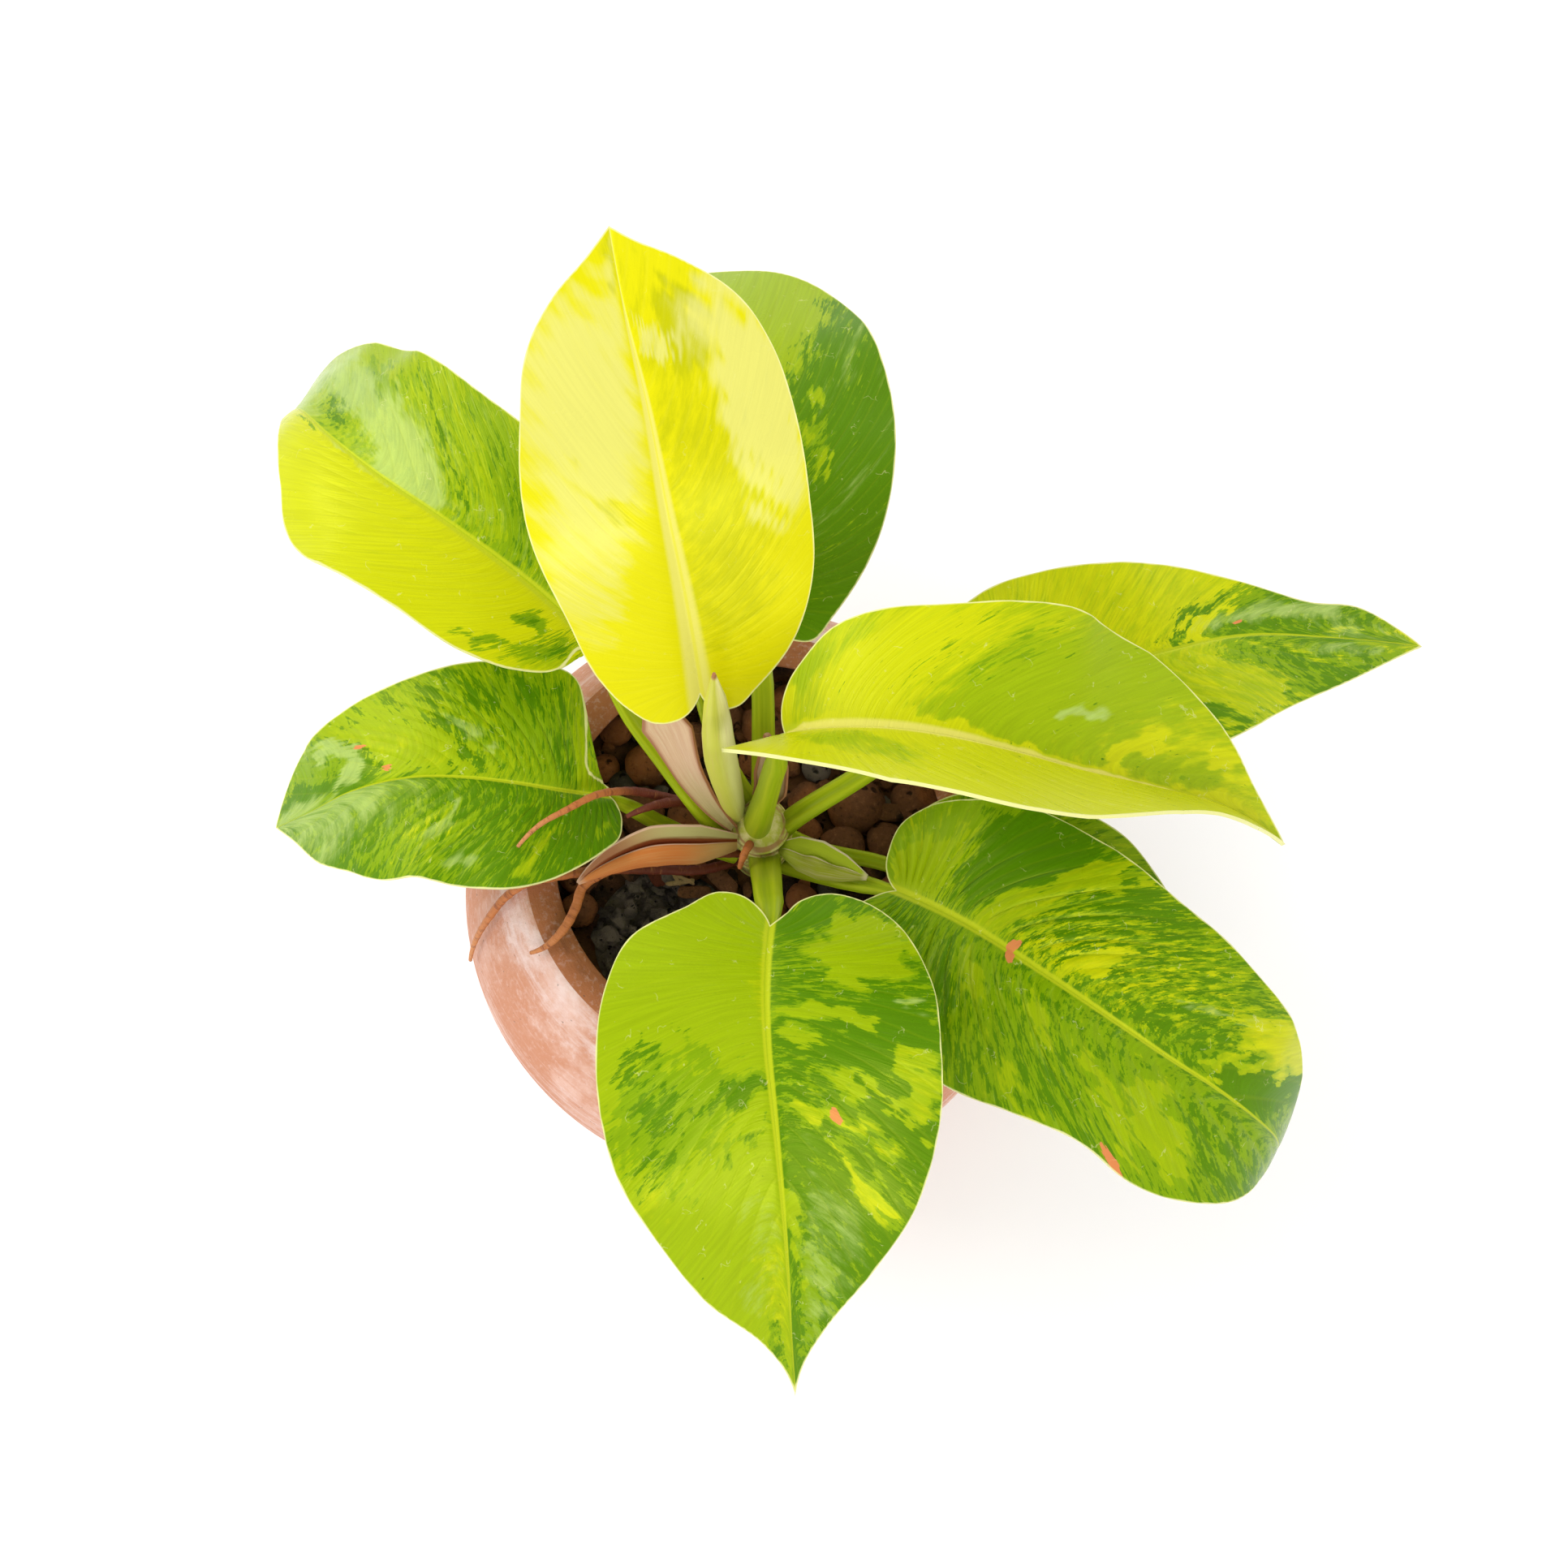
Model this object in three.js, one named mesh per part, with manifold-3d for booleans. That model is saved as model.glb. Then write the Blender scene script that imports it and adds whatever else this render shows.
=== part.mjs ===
// Potted variegated moonlight philodendron, in millimetres, +Z up.
// The origin is the middle of the pot's base, and the front leaf points towards -Y.
// Pot and potting mix are measured from the base, and the plant from the level of the pot's rim.
import * as THREE from "three";
import { mergeVertices } from "three/addons/utils/BufferGeometryUtils.js";
import Module from "manifold-3d";

const wasm = await Module();
wasm.setup();

// Ball-shaped terracotta pot
const POT_HEIGHT = 122;
const POT_BELLY_RADIUS = 78.5;
const POT_BELLY_LEVEL = 74;
const POT_LOWER_HALF = 91.3;
const POT_UPPER_HALF = 72;
const POT_WALL = 8;
const POT_FLOOR = 9;
const POT_CREST_RADIUS = 59.5;
const POT_SIDES = 48;
const POT_OUTER_STEPS = 9;
// Rounded lip from the crest to the mouth: radius, and drop below the rim
const POT_LIP = [[58.1, 0.3], [56.7, 0], [52, 0.7], [50.3, 1.7]];
// Levels of the rings on the inside wall, which the potting mix and the pebbles follow
const INNER_LEVELS = [POT_FLOOR, 41, 74, 92, 102, 110, 118];
const DRAIN_RADIUS = 4.5;
const DRAIN_CIRCLE = 22;
const DRAIN_COUNT = 3;
const DRAIN_SIDES = 14;

// Clearance between pieces that touch
const GAP = 0.3;

// Potting mix and what lies on it, levels below the rim
const BED_DROP = 20;
const BED_SIDES = 24;
const PEBBLE_LAYER_DROP = 16.5;
const PEBBLE_LAYER_RADIUS = 70;
const PEBBLE_LAYER_SIDES = 32;
const GRIT_LAYER_DROP = 15;
const GRIT_LAYER_SIDES = 20;
const STONE_FLATNESS = 0.86;
const PEBBLE_MIN = 4.6;
const PEBBLE_MAX = 6.4;
const PEBBLE_SWELL = 1.06;
const PEBBLE_CENTRE_DROP = 14;
const PEBBLE_SINK = 0.4;
const PEBBLE_REACH = 51;
const PEBBLE_SPACING = 0.9;
const PEBBLE_TRIES = 320;
const PEBBLE_SEED = 11;
const GRIT_MIN = 2.2;
const GRIT_MAX = 3.6;
const GRIT_CENTRE_DROP = 14.6;
const GRIT_PLACE = [-22, -21];
const GRIT_REACH = 19;
const GRIT_SPACING = 0.8;
const GRIT_TRIES = 90;
const GRIT_SEED = 29;

// Pebbles whose place and radius can be read off the plant's front view: x, y, radius
const SEEN_PEBBLES = [
  [27.5, 14.5, 7.6], [24, 2.5, 6.2], [36, 4.5, 5.3], [43.5, 16.5, 6.3], [-39, 25.5, 3.9],
  [-27.5, 26, 5.9], [-36, 36, 4.4], [-33, 19, 3.9], [-45.5, -10, 4.6],
];

// Stem, standing in a plain hole in the potting mix
const STEM_CENTRE = [2.8, 3.4];
const STEM_RADIUS = 7.7;
const STEM_FOOT = -48;
const STEM_CLEAR_RADIUS = 13;
const STEM_CLEAR_SHARE = 0.4;
const STEM_SIDES = 20;
// Radius, as a share of the stem's, and level of each bulge and scar ring
const STEM_PROFILE = [
  [0.9, STEM_FOOT], [1, -22], [1, -6], [0.93, -4.5], [1, -3], [1.02, 3], [0.94, 4.6], [1, 6], [0.97, 10],
  [0.8, 13],
];

// Leaf blades
const BLADE_HALF = 0.4;
const BLADE_ROWS = 16;
const BLADE_COLUMNS = [0, 0.1, 0.45, 0.8, 1];
const VEIN_SWEEP = 1.35;
const MIDRIB_CROWDING = 1.8;
const MARGIN_EASE = 0.35;
const CURL_REFERENCE = 36;
const KEEL_DEPTH = [1.7, 0.2];
const KEEL_FADE = 0.7;
const PETIOLE_SIDES = 8;
const PETIOLE_STEPS = 9;
// The petiole goes on under the blade as a rib: distance from the junction, and drop below the blade
const RIB_POINTS = [[0, 1.5], [7, 1.2]];
const RIB_NARROWING = 0.8;
const RIB_END = 0.9;

// Leaves, newest first. The midrib runs from the petiole's junction to the tip. A margin is given by
// points in the flat leaf: the distance along the midrib, less than 0 in a rear lobe, and the distance
// from it. Fold and curl lift a half above the leaf's plane, in degrees at even steps from base to tip.
const LEAVES = [
  {
    name: "leaf_newest",
    colour: 0xdfe21a,
    midrib: [[-10.5, 15.5, 74], [-13.5, 31.5, 89], [-17.5, 49, 104], [-21.5, 68.5, 115], [-26, 87, 121],
      [-30, 108, 123]],
    left: [[-5, 5], [-5, 11], [0, 17], [8, 22], [26, 27], [47, 31], [70, 28], [83, 24], [95, 15], [103, 6]],
    right: [[-4, 3], [-4, 8], [0, 13], [10, 23], [25, 30], [42, 32], [61, 32], [75, 30], [88, 25], [99, 14],
      [106, 4]],
    roll: [0, 0],
    leftLift: { fold: [8, 4], curl: [-14, -10] },
    rightLift: { fold: [8, 4], curl: [-14, -10] },
    wave: { height: 0.5, count: 2, phase: 0.4 },
    petiole: { path: [[-1, 10.3, 7], [-6, 13, 34], [-9, 15, 58]], width: [2.3, 2.2], depth: [2.2, 1.9] },
  },
  {
    name: "leaf_right",
    colour: 0xa6d010,
    midrib: [[9, 2.5, 84], [19.5, 1.5, 92], [35, -0.5, 97], [47.5, -3, 98], [60, -5.5, 96], [73, -8, 92],
      [88.5, -9.5, 85], [109.5, -12, 74], [124, -17, 62]],
    left: [[-1, 6], [1, 12], [5, 17], [11, 23], [20, 27], [33, 30], [50, 34], [63, 36], [78, 34], [91, 29],
      [103, 20], [116, 7]],
    right: [[-3, 3], [-8, 6], [-7, 12], [1, 21], [15, 28], [36, 31], [50, 32], [64, 28], [77, 23], [90, 18],
      [104, 14], [117, 6]],
    roll: [25, 25],
    leftLift: { fold: [30, 26], curl: [-6, -6] },
    rightLift: { fold: [39, 25, 27, 36, 34], curl: [0, 0] },
    wave: { height: 0.6, count: 2.5, phase: 1.2 },
    petiole: { path: [[1.8, 2.8, 9], [4.5, 3, 35], [7, 2.6, 62]], width: [3.7, 3.1], depth: [3.6, 2.7] },
  },
  {
    name: "leaf_back",
    colour: 0x3f9a14,
    midrib: [[3.5, 42, 52], [4, 63, 60], [1.5, 88.5, 60], [-4.5, 118, 50], [-12, 147.5, 30]],
    left: [[-4, 6], [-5, 12], [1, 19], [14, 27], [32, 33], [55, 35], [75, 33], [92, 26], [104, 16], [111, 7]],
    right: [[-4, 7], [-4, 12], [2, 17], [14, 25], [32, 32], [59, 35], [82, 32], [96, 25], [106, 16], [112, 7]],
    roll: [0, 0],
    leftLift: { fold: [6, 4], curl: [-14, -14] },
    rightLift: { fold: [6, 4], curl: [-14, -14] },
    wave: { height: 1, count: 3, phase: 0.8 },
    petiole: { path: [[3.5, 6, -6], [3.5, 13, 2], [3.6, 26, 28]], width: [3.4, 3], depth: [2.6, 2.3] },
  },
  {
    name: "leaf_front",
    colour: 0x8ac416,
    midrib: [[5.5, -32, 45], [4.5, -52, 49], [5, -62, 48], [6.5, -76, 44], [8, -90.5, 38], [9.5, -107.5, 28],
      [10.5, -123, 16], [11.5, -137.5, 2]],
    left: [[-3, 3], [-7, 6], [-10, 13], [-9, 20], [-3, 30], [11, 38], [34, 40], [52, 38], [70, 31], [85, 20],
      [100, 8], [110, 2.5]],
    right: [[-4, 3], [-7, 8], [-7, 13], [-1, 21], [7, 33], [16, 37], [34, 40], [55, 38], [73, 30], [90, 20],
      [103, 7], [112, 2]],
    roll: [0, 0],
    leftLift: { fold: [8, 4], curl: [-14, -14] },
    rightLift: { fold: [8, 4], curl: [-14, -14] },
    wave: { height: 1, count: 3, phase: 2.2 },
    petiole: { path: [[3.8, -3.5, 0], [4.1, -8.2, 7], [4.8, -19, 27]], width: [3.7, 3.5], depth: [2.6, 2.4] },
  },
  {
    name: "leaf_upper_left",
    colour: 0x7cbf1c,
    midrib: [[-36, 33, 56], [-48, 44, 62], [-59, 52, 66], [-73, 62, 68], [-88.5, 73.5, 67], [-101.5, 85.5, 63],
      [-110.5, 96.5, 54], [-114.5, 101.5, 43], [-116, 103, 32]],
    left: [[3, 3], [3, 11], [11, 19], [25, 24], [43, 25], [57, 26], [67, 27], [77, 24], [86, 17], [95, 11],
      [108, 5]],
    right: [[-2, 4], [-2, 12], [6, 20], [22, 27], [48, 30], [76, 31], [91, 29], [104, 25], [117, 17]],
    roll: [0, 0],
    leftLift: { fold: [14, 12, 10, 6, 0], curl: [-10, -10, -10, -90, -130] },
    rightLift: { fold: [14, 12, 10, 8, 22], curl: [-10, -10, -10, -10, -10] },
    wave: { height: 1.2, count: 3, phase: 0 },
    petiole: { path: [[-4.4, 0.8, 2], [-8.9, 3, 10], [-20.5, 13, 30], [-31, 24, 48]],
      width: [2.9, 2.8], depth: [1.9, 1.8] },
  },
  {
    name: "leaf_far_right",
    colour: 0x93c71c,
    midrib: [[53, 23, 44], [73.5, 26.5, 52], [98.5, 33.5, 52], [119.5, 40.5, 45], [147.5, 44, 34],
      [170, 45.5, 24]],
    left: [[-4, 5], [-5, 13], [0, 21], [10, 26], [28, 27], [42, 25], [60, 21], [75, 14], [92, 9], [108, 8.5],
      [119, 4]],
    right: [[-4, 5], [-5, 13], [2, 20], [18, 27], [38, 29], [55, 26], [70, 23], [88, 17], [105, 10], [118, 4]],
    roll: [0, 0],
    leftLift: { fold: [10, 4], curl: [-10, -16] },
    rightLift: { fold: [10, 4], curl: [-10, -16] },
    wave: { height: 1.2, count: 3, phase: 1.6 },
    petiole: { path: [[7.5, 3.5, 1], [10.2, 4.2, 8], [30, 12, 27], [43, 18.5, 38]],
      width: [3.1, 2.9], depth: [2.6, 2.3] },
  },
  {
    name: "leaf_left",
    colour: 0x5fae1c,
    midrib: [[-34.5, 7, 20], [-46.5, 7, 26], [-57.5, 8, 29], [-68.5, 9, 30], [-82, 9.5, 29], [-99, 7.5, 23],
      [-109.5, 5, 15], [-121, 3.5, 4]],
    left: [[-2, 4], [-1, 11], [3, 15], [9, 20], [21, 27], [34, 28], [48, 26], [60, 25], [70, 21], [80, 15],
      [90, 5]],
    right: [[1, 2], [7, 6], [8, 12], [9, 21], [12, 28], [20, 31], [36, 30], [54, 25], [71, 19], [83, 15],
      [91, 8]],
    roll: [0, 0],
    leftLift: { fold: [10, 4], curl: [-10, -20] },
    rightLift: { fold: [10, 4], curl: [-10, -20] },
    wave: { height: 1.3, count: 3.5, phase: 2.8 },
    petiole: { path: [[-4, -0.5, -6], [-12, 0.5, 0], [-22, 3, 9]], width: [2.6, 2.4], depth: [2.2, 2] },
  },
  {
    name: "leaf_lower_right",
    colour: 0x64ad18,
    midrib: [[36.5, -16, 16], [52.5, -26, 24], [72, -40, 28], [90.5, -52.5, 26], [102, -59.5, 22],
      [112, -65, 18], [123.5, -71.5, 10], [131, -75, -2], [133, -76, -14]],
    left: [[-5, 4], [-7, 10], [-7, 16], [-3, 22], [8, 29], [21, 34], [38, 35], [60, 34], [80, 32], [94, 29],
      [107, 26], [118, 22], [128, 12]],
    right: [[-5, 5], [-8, 12], [-6, 20], [4, 28], [20, 35], [40, 37], [56, 33], [71, 30], [87, 31], [98, 29],
      [110, 23], [122, 13], [130, 5]],
    roll: [0, 0],
    leftLift: { fold: [10, 8, 0], curl: [-12, -12, -12] },
    rightLift: { fold: [10, 8, 0], curl: [-12, -12, -12] },
    wave: { height: 1.3, count: 3.5, phase: 0.6 },
    petiole: { path: [[8, -1, -13], [13, -4.5, -6], [22, -10, 5]], width: [2.8, 2.6], depth: [2.4, 2.2] },
  },
  {
    name: "leaf_low_right",
    colour: 0x8bbf22,
    midrib: [[45, -8.5, 4], [63, -11, 9], [81.5, -16, 8], [98.5, -22.5, 2], [112.5, -31, -6]],
    left: [[-4, 5], [-3, 14], [5, 20], [20, 21], [34, 22], [46, 20], [55, 15], [66, 8]],
    right: [[-4, 5], [-3, 13], [5, 19], [20, 22], [36, 22], [50, 18], [60, 12], [69, 5]],
    roll: [0, 0],
    leftLift: { fold: [8, 4], curl: [-10, -14] },
    rightLift: { fold: [8, 4], curl: [-10, -14] },
    wave: { height: 0.9, count: 2.5, phase: 1 },
    petiole: { path: [[8.5, 5.5, -8], [17, 0.5, -4.5], [32, -4.5, 1.5]], width: [2.4, 2.1], depth: [2.1, 1.9] },
  },
];

// New leaf, still rolled in its sheath
const SPIKE = {
  path: [[-3.4, 6, 9], [-4.6, 6.3, 28], [-6.4, 7, 60], [-6.6, 8, 85], [-6.4, 9.4, 105]],
  width: [1.9, 3.6, 4.8, 5.4, 5.2, 3.6, 0.4],
  depth: [1.9, 3, 3.5, 3.7, 3.4, 2.5, 0.4],
  colour: 0xd9df8f,
};
const SPIKE_SIDES = 9;
const SPIKE_STEPS = 10;

// Sheaths that once wrapped a young leaf: open troughs along a middle line. The half widths and folds
// stand at even steps from base to tip, and turn swings the trough's opening about its line.
const SHEATHS = [
  {
    name: "sheath_pink_left",
    colour: 0xc99a7c,
    line: [[-4.3, 2.2, 10], [-8.4, 4, 20], [-13, 7.6, 33], [-18.4, 14, 55], [-23, 18.5, 72]],
    width: [1.4, 3, 4.6, 6.4, 0.6],
    fold: [20, 14, 8, 4],
    curl: [40, 30, 20, 10],
    turn: [45, 45],
  },
  {
    name: "sheath_pink_right",
    colour: 0xcf9f86,
    line: [[5, 10.3, 6], [5.2, 11.2, 28], [4.6, 13.8, 50]],
    width: [2.2, 5.5, 5, 0.6],
    fold: [20, 20, 12],
    curl: [50, 40, 20],
    turn: [0, 0],
  },
  {
    name: "sheath_dried",
    colour: 0xb0552e,
    line: [[-3.4, -1.8, 8], [-11, -4.8, 13.5], [-25, -7, 17], [-36, -10, 14], [-43, -13, 9]],
    width: [2, 5, 5.5, 4, 0.6],
    fold: [42, 42, 42, 40],
    curl: [0, 0],
    turn: [0, 0],
  },
  {
    name: "sheath_green",
    colour: 0x8fbf3a,
    line: [[8, -1.8, 4], [14.5, -5.4, 9.5], [22, -9, 13], [29.5, -12.5, 15.5]],
    width: [1.6, 4.2, 5, 3.5, 0.6],
    fold: [40, 36, 32, 20],
    curl: [0, 0],
    turn: [0, 0],
  },
];
const SHEATH_HALF = 0.35;
const SHEATH_ROWS = 9;
const SHEATH_COLUMNS = [0, 0.35, 0.7, 1];

// Aerial roots: a line of points, the radius at even steps, and a branch where the root has one
const ROOTS = [
  {
    name: "root_over_leaf",
    colour: 0xb5642c,
    line: [[-4.2, 6.2, 1.5], [-12, 8, 6.5], [-17.3, 8.8, 10], [-22, 9.2, 13], [-27.5, 9, 18], [-32, 7.5, 23.5],
      [-37, 5.2, 28.5], [-44.2, 0.3, 32], [-51.2, -4.3, 33], [-56, -9.4, 32.5]],
    radius: [1.5, 1.5, 1.4, 1.3, 0.6],
    branch: [[-16, 8.6, 9.5], [-21, 7, 15], [-26, 4.2, 19.5], [-30.5, 1.8, 20.5]],
  },
  {
    name: "root_orange",
    colour: 0xd56a3c,
    line: [[-2.6, -3.4, -2], [-9, -6.8, 2.5], [-25, -9, 9.5], [-36, -12, 8.5], [-42, -14, 7.5],
      [-43.8, -18, 6.5], [-47.4, -24, 4.8], [-51, -27, 3.2], [-55.4, -28.4, 0.8]],
    radius: [1.5, 1.5, 1.5, 1.3, 0.6],
  },
  {
    name: "root_outside",
    colour: 0xc8703a,
    line: [[-3.4, -0.8, -10.5], [-13, -5, -5.5], [-24, -5.5, -3.2], [-38, -6.5, 0], [-50, -9, 2.6],
      [-57, -10.6, 2.2], [-62, -12.6, -2], [-67.6, -16.5, -10], [-72.7, -20.5, -22], [-74.8, -23, -31]],
    radius: [1.3, 1.3, 1.3, 1.2, 0.6],
  },
  {
    name: "root_nub",
    colour: 0xc4604a,
    line: [[0.2, -2.4, 10.4], [-1.2, -5.4, 11.6], [-2.4, -8, 8.2]],
    radius: [1.1, 1.1, 0.6],
  },
];
const ROOT_SIDES = 7;
const ROOT_STEP = 4.5;
const ROOT_BRANCH_RADIUS = [1.2, 1.5, 1.3, 0.8];

// Colour and roughness of what has no entry above
const FINISHES = {
  pot: [0xb86f50, 0.85],
  bed: [0x2c221c, 1],
  pebbles: [0x7a4834, 0.95],
  grit: [0x2e2a29, 0.95],
  stem: [0xc3cc7e, 0.5],
};
const BLADE_ROUGHNESS = 0.35;
const SPIKE_ROUGHNESS = 0.4;
const SHEATH_ROUGHNESS = 0.6;
const ROOT_ROUGHNESS = 0.7;

// Steps of the repeating draws that place the stones
const DRAW_FACTOR = 1664525;
const DRAW_ADDEND = 1013904223;
const DRAW_RANGE = 2 ** 32;

const POINT_STEPS_PER_MM = 1e4;
const RIM = POT_HEIGHT;
const UPWARDS = new THREE.Vector3(0, 0, 1);
const radians = THREE.MathUtils.degToRad;

// A value between the entries of an evenly spaced list, at share 0 to 1
function blend(values, share) {
  const place = THREE.MathUtils.clamp(share, 0, 1) * (values.length - 1);
  const first = Math.min(Math.floor(place), values.length - 2);
  return values[first] + (values[first + 1] - values[first]) * (place - first);
}

// A smooth curve through points of two or three numbers, measured by the distance along its chords
function smoothPath(points) {
  const last = points.length - 1;
  const chords = points.slice(1).map((point, i) => Math.hypot(...point.map((c, k) => c - points[i][k])));
  const starts = [0];
  chords.forEach((chord) => starts.push(starts[starts.length - 1] + chord));
  const slopes = chords.map((chord, i) => points[i].map((c, k) => (points[i + 1][k] - c) / chord));
  const tangents = points.map((point, i) => {
    if (i === 0 || i === last) return null;
    const [before, after] = [chords[i - 1], chords[i]];
    return point.map((c, k) => (slopes[i - 1][k] * after + slopes[i][k] * before) / (before + after));
  });
  tangents[0] = last > 1 ? slopes[0].map((s, k) => 2 * s - tangents[1][k]) : slopes[0];
  tangents[last] = last > 1 ? slopes[last - 1].map((s, k) => 2 * s - tangents[last - 1][k]) : slopes[0];
  const length = starts[last];
  const at = (distance) => {
    const d = THREE.MathUtils.clamp(distance, 0, length);
    let i = 0;
    while (i < last - 1 && starts[i + 1] <= d) i += 1;
    const x = (d - starts[i]) / chords[i];
    const [x2, x3] = [x * x, x * x * x];
    return points[i].map((c, k) => (2 * x3 - 3 * x2 + 1) * c
      + (x3 - 2 * x2 + x) * chords[i] * tangents[i][k]
      + (3 * x2 - 2 * x3) * points[i + 1][k]
      + (x3 - x2) * chords[i] * tangents[i + 1][k]);
  };
  const heading = (distance) => {
    const nudge = length * 1e-4;
    const ahead = new THREE.Vector3(...at(distance + nudge));
    return ahead.sub(new THREE.Vector3(...at(distance - nudge))).normalize();
  };
  return { length, at, heading };
}

// Along, across and out-of-face directions of a blade or trough at a distance along its middle line
function faceFrame(path, distance, turn) {
  const along = path.heading(distance);
  const level = new THREE.Vector3().crossVectors(along, UPWARDS).normalize();
  const across = level.applyAxisAngle(along, -radians(turn));
  const out = new THREE.Vector3().crossVectors(across, along);
  return { along, across, out };
}

// Point of a half blade: so far from the middle line, on a strip that starts at the fold and bends by curl
function bentPoint(middle, frame, side, width, fold, curl) {
  const start = radians(fold);
  const bend = radians(curl) / CURL_REFERENCE;
  const flat = Math.abs(bend) < 1e-6;
  const over = flat ? Math.cos(start) * width : (Math.sin(start + bend * width) - Math.sin(start)) / bend;
  const lift = flat ? Math.sin(start) * width : (Math.cos(start) - Math.cos(start + bend * width)) / bend;
  return middle.clone().addScaledVector(frame.across, side * over).addScaledVector(frame.out, lift);
}

// Closed sheet round a grid of middle points. Both faces are split into the same triangles.
function closedSheet(rows, above, below) {
  const points = [];
  const lookup = new Map();
  const reach = [];
  const index = rows.map((row, i) => row.map((point, j) => {
    const key = point.toArray().map((c) => Math.round(c * POINT_STEPS_PER_MM)).join();
    if (!lookup.has(key)) {
      lookup.set(key, points.length);
      points.push(point);
      reach.push([above(i, j), below(i, j)]);
    }
    return lookup.get(key);
  }));
  const faces = [];
  for (let i = 0; i < rows.length - 1; i += 1) {
    for (let j = 0; j < rows[0].length - 1; j += 1) {
      const [a, b, c, d] = [index[i][j], index[i][j + 1], index[i + 1][j + 1], index[i + 1][j]];
      if (a !== b && b !== c && a !== c) faces.push([a, b, c]);
      if (a !== c && c !== d && a !== d) faces.push([a, c, d]);
    }
  }
  const normals = points.map(() => new THREE.Vector3());
  faces.forEach(([a, b, c]) => {
    const edge = points[b].clone().sub(points[a]);
    const face = edge.cross(points[c].clone().sub(points[a]));
    [a, b, c].forEach((corner) => normals[corner].add(face));
  });
  normals.forEach((normal) => normal.normalize());
  const positions = [];
  points.forEach((p, k) => positions.push(...p.clone().addScaledVector(normals[k], reach[k][0]).toArray()));
  points.forEach((p, k) => positions.push(...p.clone().addScaledVector(normals[k], -reach[k][1]).toArray()));
  const count = points.length;
  const triangles = [];
  const edges = new Set(faces.flatMap(([a, b, c]) => [`${a},${b}`, `${b},${c}`, `${c},${a}`]));
  faces.forEach(([a, b, c]) => {
    triangles.push(a, b, c);
    triangles.push(a + count, c + count, b + count);
    [[a, b], [b, c], [c, a]].forEach(([from, to]) => {
      if (edges.has(`${to},${from}`)) return;
      triangles.push(to, from, from + count);
      triangles.push(to, from + count, to + count);
    });
  });
  return meshGeometry(positions, triangles);
}

function meshGeometry(positions, triangles) {
  const geometry = new THREE.BufferGeometry();
  geometry.setAttribute("position", new THREE.Float32BufferAttribute(positions, 3));
  geometry.setIndex(triangles);
  return geometry;
}

// Tapered tube with flat ends along a path. Half widths lie level where the path allows it.
function taperedTube(points, widths, depths, sides, steps, grow = 0) {
  const path = smoothPath(points);
  const positions = [];
  const triangles = [];
  let across = null;
  for (let i = 0; i <= steps; i += 1) {
    const share = i / steps;
    const along = path.heading(path.length * share);
    across ??= new THREE.Vector3().crossVectors(along, UPWARDS);
    across = across.clone().addScaledVector(along, -across.dot(along)).normalize();
    const out = new THREE.Vector3().crossVectors(across, along);
    const centre = new THREE.Vector3(...path.at(path.length * share));
    if (i === 0) centre.addScaledVector(along, -grow);
    for (let k = 0; k < sides; k += 1) {
      const angle = (2 * Math.PI * k) / sides;
      const rim = centre.clone()
        .addScaledVector(across, Math.cos(angle) * (blend(widths, share) + grow))
        .addScaledVector(out, Math.sin(angle) * (blend(depths, share) + grow));
      positions.push(...rim.toArray());
    }
  }
  for (let i = 0; i < steps; i += 1) {
    for (let k = 0; k < sides; k += 1) {
      const next = (k + 1) % sides;
      const [a, b] = [i * sides + k, i * sides + next];
      const [c, d] = [b + sides, a + sides];
      triangles.push(a, c, b, a, d, c);
    }
  }
  for (let k = 1; k < sides - 1; k += 1) {
    triangles.push(0, k, k + 1);
    const top = steps * sides;
    triangles.push(top, top + k + 1, top + k);
  }
  return meshGeometry(positions, triangles);
}

// Solids for joining and cutting
function toSolid(geometry) {
  const bare = geometry.clone();
  bare.deleteAttribute("normal");
  bare.deleteAttribute("uv");
  const merged = mergeVertices(bare, 1 / POINT_STEPS_PER_MM);
  const mesh = new wasm.Mesh({
    numProp: 3,
    vertProperties: new Float32Array(merged.attributes.position.array),
    triVerts: new Uint32Array(merged.index.array),
  });
  return new wasm.Manifold(mesh);
}

function toGeometry(solid) {
  const mesh = solid.getMesh();
  return meshGeometry(mesh.vertProperties, Array.from(mesh.triVerts));
}

function joined(solids) {
  return solids.reduce((whole, solid) => whole.add(solid));
}

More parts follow.
